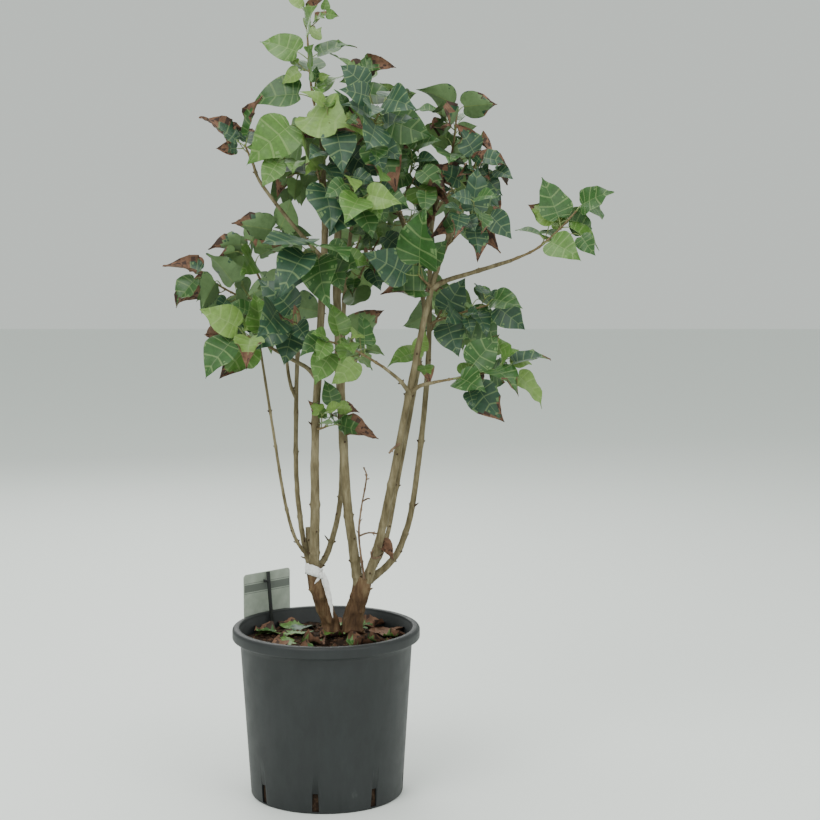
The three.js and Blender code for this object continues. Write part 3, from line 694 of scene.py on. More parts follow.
ROWS, VEIN_STRIPS = margin_rows()
MARGIN_CURVE = Limb(1, 1, 0, MARGIN).at(ROWS)
SWELL = np.array([0 if i in VEIN_STRIPS or i - 1 in VEIN_STRIPS else 1 for i in range(len(ROWS))])
COLUMNS = np.array([-c for c in reversed(BLADE["columns"])] + [-0.0, 0.0] + list(BLADE["columns"]))
SIDES = np.array([-1] * (len(BLADE["columns"]) + 1) + [1] * (len(BLADE["columns"]) + 1))


def add_blade(skin, leaf, tone, browned):
    """A blade of two skins over the source's fold and curl, with veins, waves and brown dry parts.

    m is the place along the midrib, a and w are the way along and across, c is the share of the half width.
    """
    draw = seeded(leaf["number"] * 31 + 5)
    length = leaf["length"]
    m, x, y = (MARGIN_CURVE[:, k][:, None] for k in range(3))
    c = np.abs(COLUMNS)[None]
    rib = BLADE["midrib"] * (1 - 0.75 * m) / length
    a = m + (x - m) * c**1.15
    w = rib + (y - rib) * c
    wave_a, wave_b = mix(0.02, 0.07, draw()), 2 * pi * draw()
    beats = mix(1.2, 2.4, draw())
    swell = SWELL[:, None] * 0.016 * np.sin(pi * c)
    wave = wave_a * c**2 * np.sin(2 * pi * beats * m + wave_b + SIDES * 1.3) * (1 - m * 0.5)
    tip_bend = mix(0, 0.9, draw()) * np.maximum(0, a - 0.55) ** 2
    twist = mix(-0.5, 0.5, draw()) * a
    height = leaf["fold"] * w - leaf["curl"] * a * a + swell + wave - tip_bend
    across = SIDES * w * np.cos(twist)
    height = height + SIDES * w * np.sin(twist)
    start = dry_start(browned, draw)
    ragged = 0.1 * np.sin(9 * w / 0.4 + 6 * draw()) + 0.08 * np.sin(31 * a + 6 * draw())
    dryness = np.clip((a + 0.35 * c**3 + ragged - start) / 0.18, 0, 1)
    crumple = np.array([[draw() - 0.5 for _ in COLUMNS] for _ in ROWS])
    roll = mix(0.2, 0.8, draw()) * dryness
    height = height + roll * w * c + 0.05 * dryness * crumple
    across = across * (1 - 0.35 * roll * c)
    grid = leaf["base"] + length * (a[..., None] * leaf["along"] + across[..., None] * leaf["side"]
                                    + height[..., None] * leaf["face"])
    edge = np.minimum(1, np.minimum(np.arange(len(ROWS)), np.arange(len(ROWS))[::-1]))[:, None]
    thick = (BLADE["thick"] * (1 - c**6) + 0.5 * (c == 0)) * edge
    under = grid - thick[..., None] * leaf["face"]
    top, back = blade_looks(tone, dryness, crumple, mix(-0.1, 0.5, draw()))
    skin.grid(grid, top, flip=True)
    skin.grid(under, back)


def blade_looks(tone, dryness, crumple, blotch):
    """Each quad's material above and below: veins and midrib, then brown parts and their dark blotches."""
    midrib = len(BLADE["columns"])
    top = np.full((len(ROWS) - 1, len(COLUMNS) - 1), LOOK[tone])
    top[VEIN_STRIPS] = LOOK[f"{tone}_vein"]
    top[:, midrib] = LOOK[f"{tone}_vein"]
    back = np.full_like(top, LOOK[f"{tone}_under"])
    back[:, midrib] = LOOK["stalk"]
    mean = (dryness[1:, 1:] + dryness[:-1, :-1] + dryness[1:, :-1] + dryness[:-1, 1:]) / 4
    dark = (crumple[1:, 1:] + crumple[:-1, :-1]) > blotch
    for sheet in (top, back):
        sheet[mean > TURNS_BROWN] = LOOK["dry"]
        sheet[(mean > TURNS_BROWN) & dark] = LOOK["dry_dark"]
    return top, back


def dry_start(browned, draw):
    """Where along the blade it turns brown: past the tip on a sound leaf, at the base on a dead one."""
    pick = draw()
    if browned > 1:
        return -0.4
    if browned >= 1:
        return mix(0.3, 0.7, pick)
    if pick > browned:
        return 2
    return mix(0.15, 1.15, draw())


def add_stalk(skin, leaf, look):
    """A slim stalk from the twig to the blade, bent a little towards the blade's own way."""
    foot, base = leaf["foot"], leaf["base"]
    reach = np.linalg.norm(base - foot)
    t = np.linspace(0, 1, 6)[:, None]
    pull = base - leaf["along"] * reach * 0.35
    centre = (1 - t) ** 2 * foot + 2 * t * (1 - t) * pull + t**2 * base
    way = unit(2 * (1 - t) * (pull - foot) + 2 * t * (base - pull))
    first = unit(leaf["side"] - way * (way @ leaf["side"])[:, None])
    radius = mix(0.95, 0.6, t)[..., None]
    skin.grid(centre[:, None] + radius * spokes(first, np.cross(way, first), 6), look, round_it=True)


# ---- Bark ----

# Bark of each kind of limb: step along it, sides round it, relief, distance between nodes, and bud length.
# A distance of 0 leaves the limb without nodes.
BARK = {
    "trunk": (1.3, 56, 0.21, 17, 4.6),
    "stem": (2.2, 20, 0.1, 56, 3.6),
    "slim": (2.2, 14, 0.1, 44, 2.9),
    "dead": (1.6, 10, 0.16, 26, 1.9),
    "twig": (1.8, 10, 0.1, 17, 1.7),
    "shoot": (2.4, 7, 0.06, 0, 0),
}


def bark_tube(skin, limb, kind, number, look=0, bud_look=0, foot_radius=None):
    """A limb with bark relief: lumps, furrows, and a swelling with buds at every node."""
    step, sides, relief, spacing, bud = BARK[kind]
    draw = seeded(number)
    count = max(6, ceil(limb.length / step))
    t = np.linspace(0, 1, count + 1)
    far = t * limb.length
    angle = circle(sides)
    centre, _, first, second = limb.axes(t)
    radius = np.repeat(limb.radius(t)[:, None], sides, 1)
    if foot_radius:
        radius += (foot_radius - radius) * np.exp(-far / 9)[:, None]
    lumps = np.array([[grain(1.6 * cos(q), 1.6 * sin(q) + number, d / (2.6 * limb.foot)) for q in angle]
                      for d in far])
    furrows = np.array([[grain(4.5 * cos(q), 4.5 * sin(q), d / 14 + number) for q in angle] for d in far])
    radius *= 1 + relief * lumps + 0.5 * relief * furrows
    scars = []
    place_at = spacing * mix(0.4, 0.9, draw())
    quarter = pi * draw()
    spread = 1.6 + 0.35 * limb.foot
    while spacing and place_at < limb.length - 6:
        near = np.exp(-(((far - place_at) / spread) ** 2))[:, None]
        radius += near * limb.foot**0.5 * (0.1 + 0.34 * np.cos(angle - quarter)[None] ** 2)
        scars.append((place_at, quarter))
        place_at += spacing * mix(0.65, 1.35, draw())
        quarter += pi / 2 + mix(-0.2, 0.2, draw())
    grid = centre[:, None] + radius[..., None] * spokes(first, second, sides)
    skin.grid(grid, look, round_it=True)
    skin.cap(grid[0], look, flip=True)
    skin.cap(grid[-1], look)
    add_buds(skin, limb, scars, bud_look, bud, number)


def add_buds(skin, limb, scars, look, size, number):
    """Two pointed buds at each node, opposite each other, and now and then a short dead snag."""
    draw = seeded(number + 977)
    for far, quarter in scars:
        t = far / limb.length
        at, along, first, second = limb.axes(t)
        for half in (0, pi):
            if draw() < 0.3:
                continue
            out = first * cos(quarter + half) + second * sin(quarter + half)
            foot = at + out * (limb.radius(t) + 0.15 * limb.foot**0.5)
            tall = size * mix(0.7, 1.25, draw())
            if draw() < 0.12:
                tall *= 3.2
            way = unit(along * 0.8 + out)
            add_bud(skin, foot, way, tall, 0.42 * size, look)


def add_bud(skin, foot, way, tall, radius, look):
    """A small pointed bud. levels holds the heights and radii of its rings, as shares of its own."""
    first = unit(np.cross(way, [0.3, 0.5, 0.8]))
    ring = spokes(first, np.cross(way, first), 6)
    levels = [(-0.25, 0.7), (0.2, 1), (0.6, 0.75), (0.95, 0.15)]
    grid = np.array([foot + way * tall * z + ring * radius * r for z, r in levels])
    skin.grid(grid, look, round_it=True)
    skin.cap(grid[-1], look)


# How much thicker the stems are with their bark than the solids.
BARK_OVER_WOOD = 1.08
# Stems no thicker than this at the foot have their nodes closer together, and smaller buds.
SLIM_FOOT = 4


def make_trunks(materials):
    """The two knobby trunks, their feet sunk a little into the compost."""
    skin = Skin("trunks", "trunk", [materials["trunk"]], ["trunk_left", "trunk_right"])
    for number, name in enumerate(skin.nodes):
        foot, tip, flare, route = LIMBS[name]
        x, y, _ = route[0]
        sunk = Limb(foot, tip, flare, [(x, y, SOIL["edge"]), *route[1:]])
        bark_tube(skin, sunk, "trunk", SEEDS["trunk"] + number)
    skin.make()


def make_stems(limbs, materials):
    """Stems and boughs, and the pale sawn face of the stub."""
    names = [n for n in limbs if n.startswith(("stem", "bough"))]
    skin = Skin("stems", "bark", [materials["bark"], materials["scar"], materials["cut"]], names)
    for number, name in enumerate(names):
        foot, tip, flare, route = LIMBS[name]
        limb = Limb(BARK_OVER_WOOD * foot, BARK_OVER_WOOD * tip, flare, route)
        bark_tube(skin, limb, "stem" if foot > SLIM_FOOT else "slim", SEEDS["stem"] + number, bud_look=1)
    saw = limbs["stem_2_stub"]
    at, along, first, second = saw.axes(1.0)
    skin.cap(at + 0.1 * along + 0.9 * saw.tip * spokes(first, second, 18), 2)
    skin.make()


def make_dead_twig(limbs, materials):
    """The dry twig with its short side twigs and curled end, and the snag on the right stem."""
    skin = Skin("dead_twigs", "dead", [materials["dead"]], ["dead_twig"])
    routes = [
        (1.3, 0.9, [(54, -22, 429), (60, -25, 433), (64, -26, 433)]),
        (1.2, 0.8, [(58, -24, 462), (61, -24, 461), (63, -24, 462)]),
        (1.4, 1.0, [(48, -18, 378), (62, -14, 382), (78, -9, 379)]),
        (1.5, 1.0, [(79, -9, 346), (68, -12, 345), (65, -12, 352), (68, -12, 356)]),
        (1.9, 1.4, [(108, -28, 514), (99, -36, 508), (91, -40, 500)]),
    ]
    shapes = [limbs["dead_twig"]] + [Limb(foot, tip, 0, route) for foot, tip, route in routes]
    for number, limb in enumerate(shapes):
        bark_tube(skin, limb, "dead", SEEDS["dead"] + number)
    skin.make()


# ---- Crown ----

FINER = dict(twigs=3, foot=0.95, tip=0.55, leaf=0.62, pairs=2)


def ends_at(limb, spot, reach):
    """Whether the limb's end lies within reach of the spot."""
    return np.linalg.norm(limb.at(1.0) - spot) < reach


def passes(limb, spot, reach):
    """Whether the limb comes within reach of the spot anywhere along its way."""
    return np.linalg.norm(limb.at(np.linspace(0, 1, 21)) - spot, axis=1).min() < reach


def finer_shoots(spray):
    """Small side shoots along the spray's twigs, as long as half a leaf, each with small leaves."""
    draw = seeded(SEED * 5000 + spray["index"])
    shoots = []
    size = spray["row"][3]
    for shoot in spray["shoots"]:
        for i in range(FINER["twigs"]):
            node = node_on(shoot["limb"], mix(0.25, 0.9, (i + draw()) / FINER["twigs"]))
            angle = radians(137.5 * i + 360 * draw())
            out = node["first"] * cos(angle) + node["second"] * sin(angle)
            way = unit(node["along"] * 0.8 + out)
            tip = node["at"] + way * size * mix(0.28, 0.5, draw())
            bend = (node["at"] + tip) / 2 + np.array([0, 0, -0.03 * size])
            limb = Limb(FINER["foot"], FINER["tip"], 0, [node["at"], bend, tip])
            shoots.append(dict(limb=limb, pairs=FINER["pairs"], leaf=size * FINER["leaf"]))
    return shoots


def grow_finer(sprays, limbs):
    """Fills the room that the rule's own leaves left, with smaller leaves on finer shoots."""
    wood = all_wood(limbs, sprays)
    grown = [leaf for spray in sprays for leaf in spray["leaves"]]
    for spray in sprays:
        shoots = finer_shoots(spray)
        leaves = grow_leaves(spray["row"], spray["index"] + 200, shoots, wood, grown)
        bearing = [s for s in shoots if any(ends_at(s["limb"], leaf["foot"], 1) for leaf in leaves)]
        spray["finer"] = bearing
        spray["leaves"] += [
            leaf for leaf in leaves if any(passes(s["limb"], leaf["foot"], 1.5) for s in bearing)]


def make_twigs(sprays, limbs, materials):
    """Woody twigs in one piece: the main ones brown, the side ones and finer shoots green."""
    skin = Skin("twigs", "bark", [materials["twig"], materials["shoot"], materials["scar"]], list(SPRAYS))
    for spray in sprays:
        for branch, shoot in enumerate(spray["shoots"]):
            limb = shoot["limb"]
            joined = [wood.tip for wood in limbs.values() if ends_at(wood, limb.at(0.0), 2)]
            bark_tube(skin, limb, "twig", SEEDS["twig"] + spray["index"] * 10 + branch,
                      look=min(branch, 1), bud_look=2, foot_radius=joined[0] if joined else None)
            add_bud(skin, limb.at(1.0), limb.along(1.0), 4.2, 1.5, 1)
        for branch, shoot in enumerate(spray["finer"]):
            bark_tube(skin, shoot["limb"], "shoot", SEEDS["shoot"] + spray["index"] * 10 + branch, look=1)
            add_bud(skin, shoot["limb"].at(1.0), shoot["limb"].along(1.0), 2.6, 0.9, 1)
    skin.make()


def tone_of(leaf, main):
    """Most leaves of a spray share its tone. Others take the next one, and the youngest are the palest."""
    draw = seeded(leaf["number"] * 17 + 3)
    if leaf["age"] == 0 and draw() < 0.18 and main != "deep":
        return "young"
    return main if draw() < 0.6 else NEIGHBOURS[main][int(2 * draw())]


def make_leaves(name, sprays, materials, odd=()):
    """The leaves of some sprays as one piece, with their stalks and any odd dried leaves."""
    nodes = [spray["name"] for spray in sprays]
    skin = Skin(name, "leaf", [materials[look] for look in LEAF_LOOKS], nodes)
    for spray in sprays:
        main, browned = spray["row"][7:9]
        for leaf in spray["leaves"]:
            add_stalk(skin, leaf, LOOK["stalk"])
            add_blade(skin, leaf, tone_of(leaf, main), browned)
    for number, (foot, base, tip, fold, browned) in enumerate(odd):
        leaf = odd_leaf(SEEDS["odd"] + number, foot, base, tip, fold)
        add_stalk(skin, leaf, LOOK["dry_dark"])
        add_blade(skin, leaf, "green", browned)
    skin.make()


# Dried leaves with a place of their own: where the stalk starts, where the blade starts and ends, its fold,
# and 2 for a leaf that is dead all over or 1 for one that has turned in part. The dead one is caught between
# two stems low down, the other hangs on beside the long bough.
DRIED = [
    ((71, -4, 366), (76, -4, 362), (99, -9, 343), 1.1, 2),
    ((150, -32, 731), (141, -37, 727), (84, -52, 733), 0.9, 1),
]


def odd_leaf(number, foot, base, tip, fold):
    """A leaf laid from base to tip, facing up and towards the front."""
    foot, base, tip = (np.array(point, float) for point in (foot, base, tip))
    along = unit(tip - base)
    face = np.array([0.1, -LIGHT["side"], LIGHT["up"]])
    face = unit(face - along * (face @ along))
    return dict(number=number, foot=foot, base=base, along=along, face=face, side=np.cross(face, along),
                length=np.linalg.norm(tip - base), fold=fold, curl=0.15)


def split_by_height(sprays, count):
    """The sprays from the top down, in groups that hold about the same number of leaves."""
    order = sorted(sprays, key=lambda spray: -spray["shoots"][0]["limb"].at(1.0)[2])
    total = sum(len(spray["leaves"]) for spray in sprays)
    groups, before = [[] for _ in range(count)], 0
    for spray in order:
        groups[min(count - 1, count * before // total)].append(spray)
        before += len(spray["leaves"])
    return groups


# ---- Pot, soil and what lies on it ----


def arc(middle, radius, start, end, steps):
    angles = np.radians(np.linspace(start, end, steps))
    return [(middle[0] + radius * cos(q), middle[1] + radius * sin(q)) for q in angles]


def make_pot(materials):
    """A thin tapered wall under a thick rolled lip, with slots cut through the foot of the wall."""
    rim, top, lip, neck = POT["rim"], POT["top"], POT["lip"], POT["neck"]
    base, wall = POT["base"], POT["wall"]
    outside = [(0.5, 0.6), (base - 14, 0.6), (base - 12, 0), *arc((base - 3, 3), 3, -90, -8, 5)]
    outside += [(mix(base, neck, t), mix(3, top - lip, t)) for t in (0.1, 0.3, 0.5, 0.7, 0.85, 0.96)]
    outside += [(neck + 0.6, top - lip - 1), *arc((rim - 3, top - lip + 3), 3, -90, 0, 5)]
    outside += [(rim, top - 8), *arc((rim - 5, top - 5), 5, 0, 90, 7)]
    outside += arc((neck + 2, top - 2), 2, 90, 180, 4)
    inside = [(neck - 0.4, top - 4), (neck - wall, top - 6), (mix(base, neck, 0.5) - wall, top / 2)]
    inside += [(base - wall, 6), (base - wall - 3, wall), (0.5, wall)]
    skin = Skin("pot_moulded", "pot", [materials["plastic"]], ["pot"])
    skin.grid(np.array([hoop(r, z, POT["sides"]) for r, z in outside + inside]), 0, round_it=True)
    skin.cap(hoop(0.5, 0.6, POT["sides"]), 0, flip=True)
    skin.cap(hoop(0.5, wall, POT["sides"]), 0)
    pot = skin.make()
    merge = bmesh.new()
    merge.from_mesh(pot.data)
    bmesh.ops.remove_doubles(merge, verts=merge.verts, dist=1e-6)
    merge.to_mesh(pot.data)
    merge.free()
    cutter = slot_cutter()
    cut = pot.modifiers.new("slots", "BOOLEAN")
    cut.operation = "DIFFERENCE"
    cut.solver = "EXACT"
    cut.object = cutter
    apply_modifiers(pot)
    bpy.data.objects.remove(cutter)


# How deep the slot cutter's blocks reach, through the wall and out in front of it.
CUT_DEPTH = 24


def slot_cutter():
    """Upright blocks in a ring, one for each drainage slot, a little narrower at the top."""
    tool = bmesh.new()
    for i in range(SLOTS["count"]):
        heading = radians(SLOTS["turn"] + 360 * i / SLOTS["count"])
        block = bmesh.ops.create_cube(tool, size=1)["verts"]
        tall = SLOTS["high"] - SLOTS["low"]
        for v in block:
            x = POT["base"] + v.co.x * CUT_DEPTH
            y = v.co.y * SLOTS["wide"] * (1 if v.co.z < 0 else 0.8)
            z = v.co.z * tall + (SLOTS["high"] + SLOTS["low"]) / 2
            v.co = Vector((x * cos(heading) - y * sin(heading), x * sin(heading) + y * cos(heading), z)) * MM
    mesh = bpy.data.meshes.new("slot_cutter")
    tool.to_mesh(mesh)
    tool.free()
    return put("slot_cutter", mesh)


def apply_modifiers(piece):
    """Bakes the modifiers into the mesh, so that none is left on the piece."""
    bpy.context.view_layer.update()
    seen = piece.evaluated_get(bpy.context.evaluated_depsgraph_get())
    mesh = bpy.data.meshes.new_from_object(seen)
    piece.modifiers.clear()
    piece.data = mesh


# The compost: radius of its level middle, how far it has settled, and its lumps as height, width and
# slice of noise.
LEVEL_RADIUS = 40
SETTLED = 0.5
LUMPS = [(3.2, 22, 3), (1.6, 8, 9), (0.8, 3, 5)]


def soil_height(x, y):
    """Height of the compost: a low dome towards the middle, lumpy all over."""
    out = (sqrt(x * x + y * y) - LEVEL_RADIUS) / (SOIL["edge_radius"] - LEVEL_RADIUS)
    dome = mix(SOIL["crown"], SOIL["edge"], min(1, max(0, out)))
    return dome + sum(tall * grain(x / wide, y / wide, z) for tall, wide, z in LUMPS) - SETTLED


def make_soil(materials):
    """The root ball's lumpy top, its side behind the slots and its underside."""
    gap, heights = 0.6, (3, 12, 24, 36, 120, 216)
    inner = [(z, mix(POT["base"], POT["neck"], z / POT["top"]) - POT["wall"] - gap) for z in heights]
    angle = circle(120)
    rings = [hoop(r, z, 120) for z, r in inner]
    edge = inner[-1][1]
    for r in np.linspace(edge, 1, 62):
        rings.append([(r * cos(q), r * sin(q), soil_height(r * cos(q), r * sin(q))) for q in angle])
    skin = Skin("compost", "soil", [materials["soil"]], ["soil"])
    grid = np.array(rings)
    for i, (z, _) in enumerate(inner[1:5], 1):
        for j, q in enumerate(angle):
            grid[i, j, :2] *= 1 - 0.006 * abs(grain(9 * cos(q), 9 * sin(q), z / 4))
    skin.grid(grid, 0, round_it=True)
    skin.cap(grid[0], 0, flip=True)
    skin.cap(grid[-1], 0)
    skin.make()


CHIPS = dict(count=620, reach=116)


def make_chips(materials):
    """Bark chips and crumbs strewn over the compost."""
    draw = seeded(SEEDS["chips"])
    skin = Skin("bark_chips", "soil", [materials["chip"], materials["soil"]], [])
    box = [(0, 1, 2, 3), (7, 6, 5, 4), (0, 4, 5, 1), (1, 5, 6, 2), (2, 6, 7, 3), (3, 7, 4, 0)]
    corners = np.array([(-1, -1, 1), (1, -1, 1), (1, 1, 1), (-1, 1, 1),
                        (-1, -1, -1), (1, -1, -1), (1, 1, -1), (-1, 1, -1)], float)
    for _ in range(CHIPS["count"]):
        r, q = CHIPS["reach"] * sqrt(draw()), 2 * pi * draw()
        x, y = r * cos(q), r * sin(q)
        size = np.array([mix(1.2, 5.5, draw() ** 2), mix(0.8, 2.6, draw()), mix(0.4, 1.3, draw())])
        jitter = np.array([[mix(0.6, 1.1, draw()) for _ in range(3)] for _ in range(8)])
        turn, lean = 2 * pi * draw(), mix(-0.5, 0.5, draw())
        points = corners * jitter * size
        points = points @ np.array([[cos(lean), 0, sin(lean)], [0, 1, 0], [-sin(lean), 0, cos(lean)]])
        points = points @ np.array([[cos(turn), sin(turn), 0], [-sin(turn), cos(turn), 0], [0, 0, 1]])
        points += (x, y, soil_height(x, y) + 0.5)
        skin.solid(points, box, 0 if draw() < 0.7 else 1)
    skin.make(smooth=False)


# Fallen leaves on the compost: place, heading, length, tone, and how far they have dried.
FALLEN = [
    ((-81, 22), 150, 44, "young", 0.05), ((-45, 3), 200, 56, "fresh", 1), ((-36, 56), 80, 50, "deep", 0.1),
    ((6, -27), 240, 46, "fresh", 1), ((-12, -52), 300, 44, "fresh", 1), ((-58, -40), 215, 46, "fresh", 1),
    ((50, -46), 20, 40, "green", 1), ((-96, 56), 120, 42, "green", 1), ((100, 16), 340, 46, "fresh", 1),
    ((80, -40), 300, 44, "green", 1), ((10, 88), 60, 50, "fresh", 1), ((64, 80), 30, 46, "green", 1),
    ((-60, 88), 130, 46, "fresh", 1), ((28, -84), 280, 42, "green", 1), ((-24, -92), 190, 44, "green", 1),
]
# Larger lobed leaves, blown in and dried: place, heading and radius.
LOBED = [((32, 6), 250, 27), ((82, 42), 20, 33), ((-70, -70), 130, 26), ((30, 98), 100, 27)]


def make_litter(materials):
    """Leaves of the bush and a few dry lobed ones, lying on the compost and curled as they dried."""
    skin = Skin("fallen_leaves", "dead", [materials[look] for look in LEAF_LOOKS], [])
    draw = seeded(SEEDS["litter"])
    for number, ((x, y), heading, length, tone, browned) in enumerate(FALLEN):
        q = radians(heading)
        along = unit(np.array([cos(q), sin(q), mix(-0.05, 0.16, draw())]))
        face = unit(np.array([mix(-0.25, 0.25, draw()), mix(-0.25, 0.25, draw()), 1.0]))
        face = unit(face - along * (face @ along))
        middle = np.array([x, y, soil_height(x, y) + 3.5])
        base = middle - along * length * 0.4
        leaf = dict(number=SEEDS["fallen"] + number, length=length, along=along, face=face, base=base,
                    side=np.cross(face, along), fold=mix(0, 0.2, draw()), curl=mix(-0.15, 0.2, draw()))
        add_blade(skin, leaf, tone, browned)
    for number, (spot, heading, radius) in enumerate(LOBED):
        add_lobed(skin, spot, heading, radius, SEEDS["lobed"] + number)
    skin.make()


def add_lobed(skin, spot, heading, radius, number):
    """A leaf with five pointed lobes, its margin curled up off the ground."""
    draw = seeded(number * 77)
    turn, phase = radians(heading), 2 * pi * draw()
    rings = []
    for share in (0.02, 0.3, 0.55, 0.8, 1):
        ring = []
        for q in np.linspace(0, 2 * pi, 60, endpoint=False):
            bend = (q + pi) % (2 * pi) - pi
            lobes = 0.5 + 0.5 * abs(cos(2.2 * bend)) ** 1.4 + 0.07 * abs(sin(11 * bend))
            notch = 1 - 0.55 * exp(-((pi - abs(bend)) / 0.35) ** 2)
            r = radius * share * mix(1, lobes * notch, share)
            x, y = spot[0] + r * cos(q + turn), spot[1] + r * sin(q + turn)
            lift = 2.2 + share**2 * (4.5 + 4 * sin(2 * q + phase)) + 1.2 * share * grain(x / 7, y / 7, number)
            ring.append((x, y, soil_height(*spot) + 0.6 * (soil_height(x, y) - soil_height(*spot)) + lift))
        rings.append(ring)
    grid = np.array(rings)
    skin.grid(grid, LOOK["dry"], round_it=True)
    skin.grid(grid - (0, 0, 0.4), LOOK["dry"], round_it=True, flip=True)


# ---- Label and tie ----


def card_frame():
    """The card's own directions, in the world: sideways, up and inwards."""
    q = radians(CARD["azimuth"])
    out = np.array([cos(q), sin(q), 0])
    return np.array([sin(q), -cos(q), 0]), np.array([0, 0, 1.0]), -out


def rounded(wide, tall, corner, steps=7):
    spots = [(wide / 2 - corner, corner, -90), (wide / 2 - corner, tall - corner, 0),
             (corner - wide / 2, tall - corner, 90), (corner - wide / 2, corner, 180)]
    return [p for x, y, start in spots for p in arc((x, y), corner, start, start + 90, steps)]


def make_card(materials):
    """A plain rounded card with a grey band near its top and a thin line along each side of the band."""
    sideways, up, inward = card_frame()
    low = CARD["top"] - CARD["tall"]
    corner = -inward * (POT["rim"] + 0.3 + CARD["thick"]) + up * low
    skin = Skin("label_card_printed", "card", [materials["card"], materials["band"]], ["label_card"])

    def ring(outline, depth):
        return [corner + sideways * x + up * y + inward * depth for x, y in outline]

    outline = rounded(CARD["wide"], CARD["tall"], 5)
    small = rounded(CARD["wide"] - 0.6, CARD["tall"] - 0.6, 4.7)
    small = [(x, y + 0.3) for x, y in small]
    thick = CARD["thick"]
    edge = [(small, 0), (outline, 0.3), (outline, thick - 0.3), (small, thick)]
    skin.grid(np.array([ring(line, depth) for line, depth in edge]), 0, round_it=True, flip=True)
    skin.cap(ring(small, 0), 0)
    skin.cap(ring(small, thick), 0, flip=True)
    band_low, band_high = CARD["tall"] - 27, CARD["tall"] - 16
    side = CARD["wide"] / 2 - 1.2
    stripes = [(band_low, band_high), (band_low - 2.4, band_low - 1.6), (band_high + 1.6, band_high + 2.4)]
    for low_line, high_line in stripes:
        strip = [(-side, low_line), (side, low_line), (side, high_line), (-side, high_line)]
        skin.cap(ring(strip, thick + 0.04), 1, flip=True)
    skin.make(smooth=False)


def make_stick(materials):
    """The label's stick with its hook, from the CAD solid, with its edges rounded."""
    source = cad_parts["label_stick"]
    shape = bmesh.new()
    shape.from_mesh(source.data)
    bmesh.ops.remove_doubles(shape, verts=shape.verts, dist=1e-6)
    bmesh.ops.dissolve_limit(shape, angle_limit=radians(1), verts=shape.verts, edges=shape.edges)
    bmesh.ops.bevel(shape, geom=shape.edges[:], offset=0.0006, segments=2, affect="EDGES", profile=0.6)
    for face in shape.faces:
        face.material_index = 0
    mesh = bpy.data.meshes.new("label_stick_moulded")
    shape.to_mesh(mesh)
    shape.free()
    mesh.polygons.foreach_set("use_smooth", [True] * len(mesh.polygons))
    place("label_stick_moulded", mesh, [materials["stick"]], ["label_stick"])


def crumple(points, depth, scale, number):
    """Moves points by smooth noise, as thin paper creases."""
    shift = Vector((number, 0, 0))
    moved = [noise.noise_vector(Vector(p) / scale + shift) * depth for p in points.reshape(-1, 3)]
    return points + np.array([tuple(v) for v in moved]).reshape(points.shape)


# The paper band's section, once round: height above its middle and distance out.
BAND = [(-7.5, -0.2), (-7.8, 0.9), (-4, 0.4), (0, 0.8), (4, 0.3), (7.6, 0.8), (7.4, -0.3), (0, -0.6)]


def make_tie(limbs, materials):
    """A paper band wound slanting round the left trunk, a knot, a short end and a long pointed tail."""
    trunk = limbs["trunk_left"]
    middle = (TIE["low"] + TIE["high"]) / 2
    t = np.linspace(0, 1, 400)
    spot = trunk.at(t[np.abs(trunk.at(t)[:, 2] - middle).argmin()])
    reach = trunk.foot + TIE["thick"] + 0.9
    skin = Skin("paper_tie_creased", "paper", [materials["paper"]], ["paper_tie"])
    rings = []
    for rise, out in [*BAND, BAND[0]]:
        rings.append([(spot[0] + (reach + out) * cos(q), spot[1] + (reach + out) * sin(q),
                       middle + rise - TIE["slant"] * cos(q - 0.6)) for q in circle(48)])
    skin.grid(crumple(np.array(rings), 1.3, 5, 2), 0, round_it=True)
    knot = np.array([spot[0] + reach - 1.5, spot[1] - 8.5, middle - 4])
    ball = bmesh.new()
    bmesh.ops.create_icosphere(ball, subdivisions=3, radius=1)
    points = np.array([tuple(v.co) for v in ball.verts]) * (3.6, 3, 4.4)
    faces = [[v.index for v in f.verts] for f in ball.faces]
    ball.free()
    skin.solid(crumple(points + knot, 1.8, 3, 5), faces, 0)
    tail = knot + (2, -1, 3)
    add_ribbon(skin, tail, unit(np.array([0.24, -0.1, -0.97])), TIE["drop"] + 4, 5.2, 7)
    add_ribbon(skin, knot, unit(np.array([-0.55, -0.3, -0.72])), 15, 2.6, 8)
    skin.make()


def add_ribbon(skin, start, way, length, half_width, number):
    """A pointed strip of creased paper that hangs from start, folded in half and turning as it falls."""
    side = unit(np.cross(way, [0.25, 0.9, 0.1]))
    face = np.cross(side, way)
    t = np.linspace(0, 1, 30)[:, None, None]
    s = np.linspace(-1, 1, 7)[None, :, None]
    width = half_width * (1 - t) ** 0.75 * (0.55 + 0.9 * np.sqrt(t)) + 0.15
    turn = 0.9 * t
    crease = 0.55 * np.abs(s) * width
    out = s * width * np.sin(turn) + crease
    points = start + way * length * t + side * (s * width * np.cos(turn)) + face * out
    points = crumple(points + face * 1.6 * np.sin(3.2 * t), 0.9, 7, number)
    skin.grid(points, 0)
    skin.grid(points - 0.35 * face, 0, flip=True)


# ---- Stage ----

# The floor's half width in metres and its tone, and the tone and strength of the sky.
FLOOR = dict(half=9, tone=(0.82, 0.86, 0.83))
SKY = dict(tone=(0.86, 0.92, 0.87, 1), strength=0.8)
# The studio's lamps, in metres and watts: place, what it points at, width and power.
LAMPS = {
    "key": ((-1.4, -2.2, 2.6), (0, 0, 0.7), 2.2, 70),
    "fill": ((1.9, -1.9, 1.7), (0, 0, 0.6), 2.0, 28),
    "top": ((0.1, 0.3, 3.0), (0, 0, 0.6), 2.4, 45),
    "back": ((-0.6, 2.4, 2.0), (0, 0, 0.7), 2.0, 30),
}
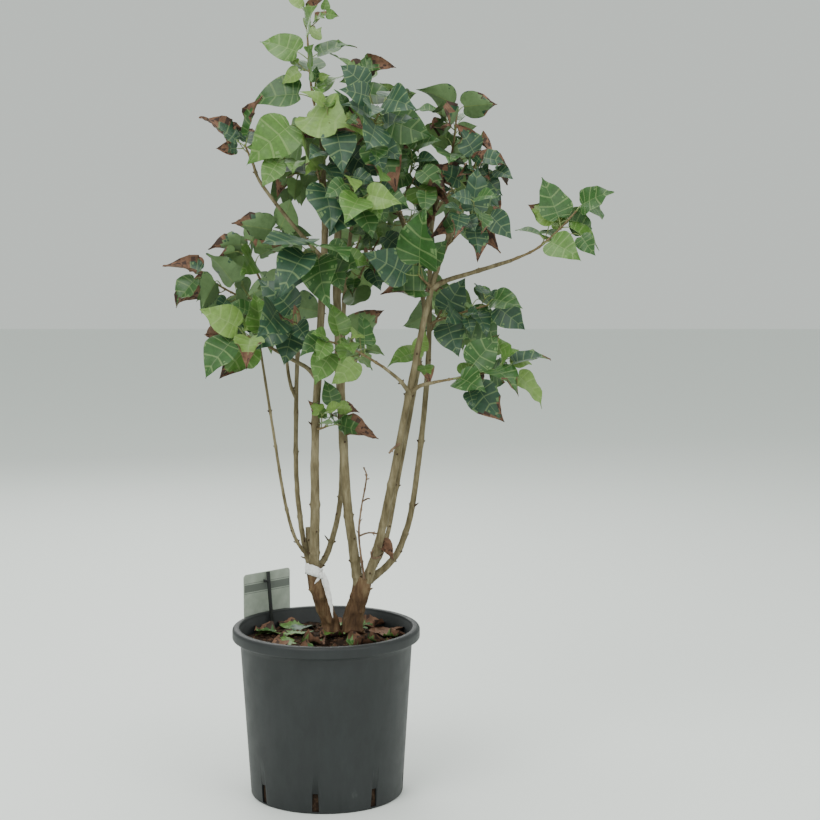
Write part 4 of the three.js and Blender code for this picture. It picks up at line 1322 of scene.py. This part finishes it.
# The camera's place in metres, its tilt below level in degrees, and its lens and sensor in millimetres.
CAMERA = dict(at=(0.1206, -2.645, 0.869), down=6.74, lens=82.3, sensor=36)


def make_stage():
    """A pale floor and soft light from all round: four wide lamps and an even sky."""
    mesh = bpy.data.meshes.new("floor")
    half = FLOOR["half"]
    corners = [(-half, -half, 0), (half, -half, 0), (half, half, 0), (-half, half, 0)]
    mesh.from_pydata(corners, [], [(0, 1, 2, 3)])
    mesh.materials.append(new_material("floor_pale", FLOOR["tone"], 0.7))
    put("floor", mesh)
    world = bpy.data.worlds.new("studio")
    world.use_nodes = True
    set_inputs(world.node_tree.nodes["Background"], Color=SKY["tone"], Strength=SKY["strength"])
    bpy.context.scene.world = world
    for name, row in LAMPS.items():
        add_light(name, *row)


def add_light(name, at, towards, size, watts):
    lamp = bpy.data.lights.new(name, "AREA")
    lamp.shape = "DISK"
    lamp.size = size
    lamp.energy = watts
    lamp.color = (1, 1, 0.985)
    light = put(name, lamp)
    light.location = at
    light.rotation_euler = (Vector(towards) - Vector(at)).to_track_quat("-Z", "Y").to_euler()


def make_camera():
    """Stands where the photographer stood: 0.87 m up, 2.6 m in front, tilted a little down."""
    lens = bpy.data.cameras.new("camera")
    lens.sensor_width = CAMERA["sensor"]
    lens.lens = CAMERA["lens"]
    camera = put("camera", lens)
    camera.location = CAMERA["at"]
    camera.rotation_euler = (radians(90 - CAMERA["down"]), 0, 0)
    bpy.context.scene.camera = camera


# ---- The plant ----


def build():
    materials = make_materials()
    limbs = {name: Limb(*row) for name, row in LIMBS.items()}
    sprays = grow_crown(limbs)
    grow_finer(sprays, limbs)
    make_trunks(materials)
    make_stems(limbs, materials)
    make_dead_twig(limbs, materials)
    make_twigs(sprays, limbs, materials)
    names = ("leaves_top", "leaves_upper", "leaves_middle", "leaves_lower")
    for name, group in zip(names, split_by_height(sprays, len(names))):
        make_leaves(name, group, materials, DRIED if name == names[-1] else ())
    make_pot(materials)
    make_soil(materials)
    make_chips(materials)
    make_litter(materials)
    make_card(materials)
    make_stick(materials)
    make_tie(limbs, materials)


make_camera()
make_stage()
build()
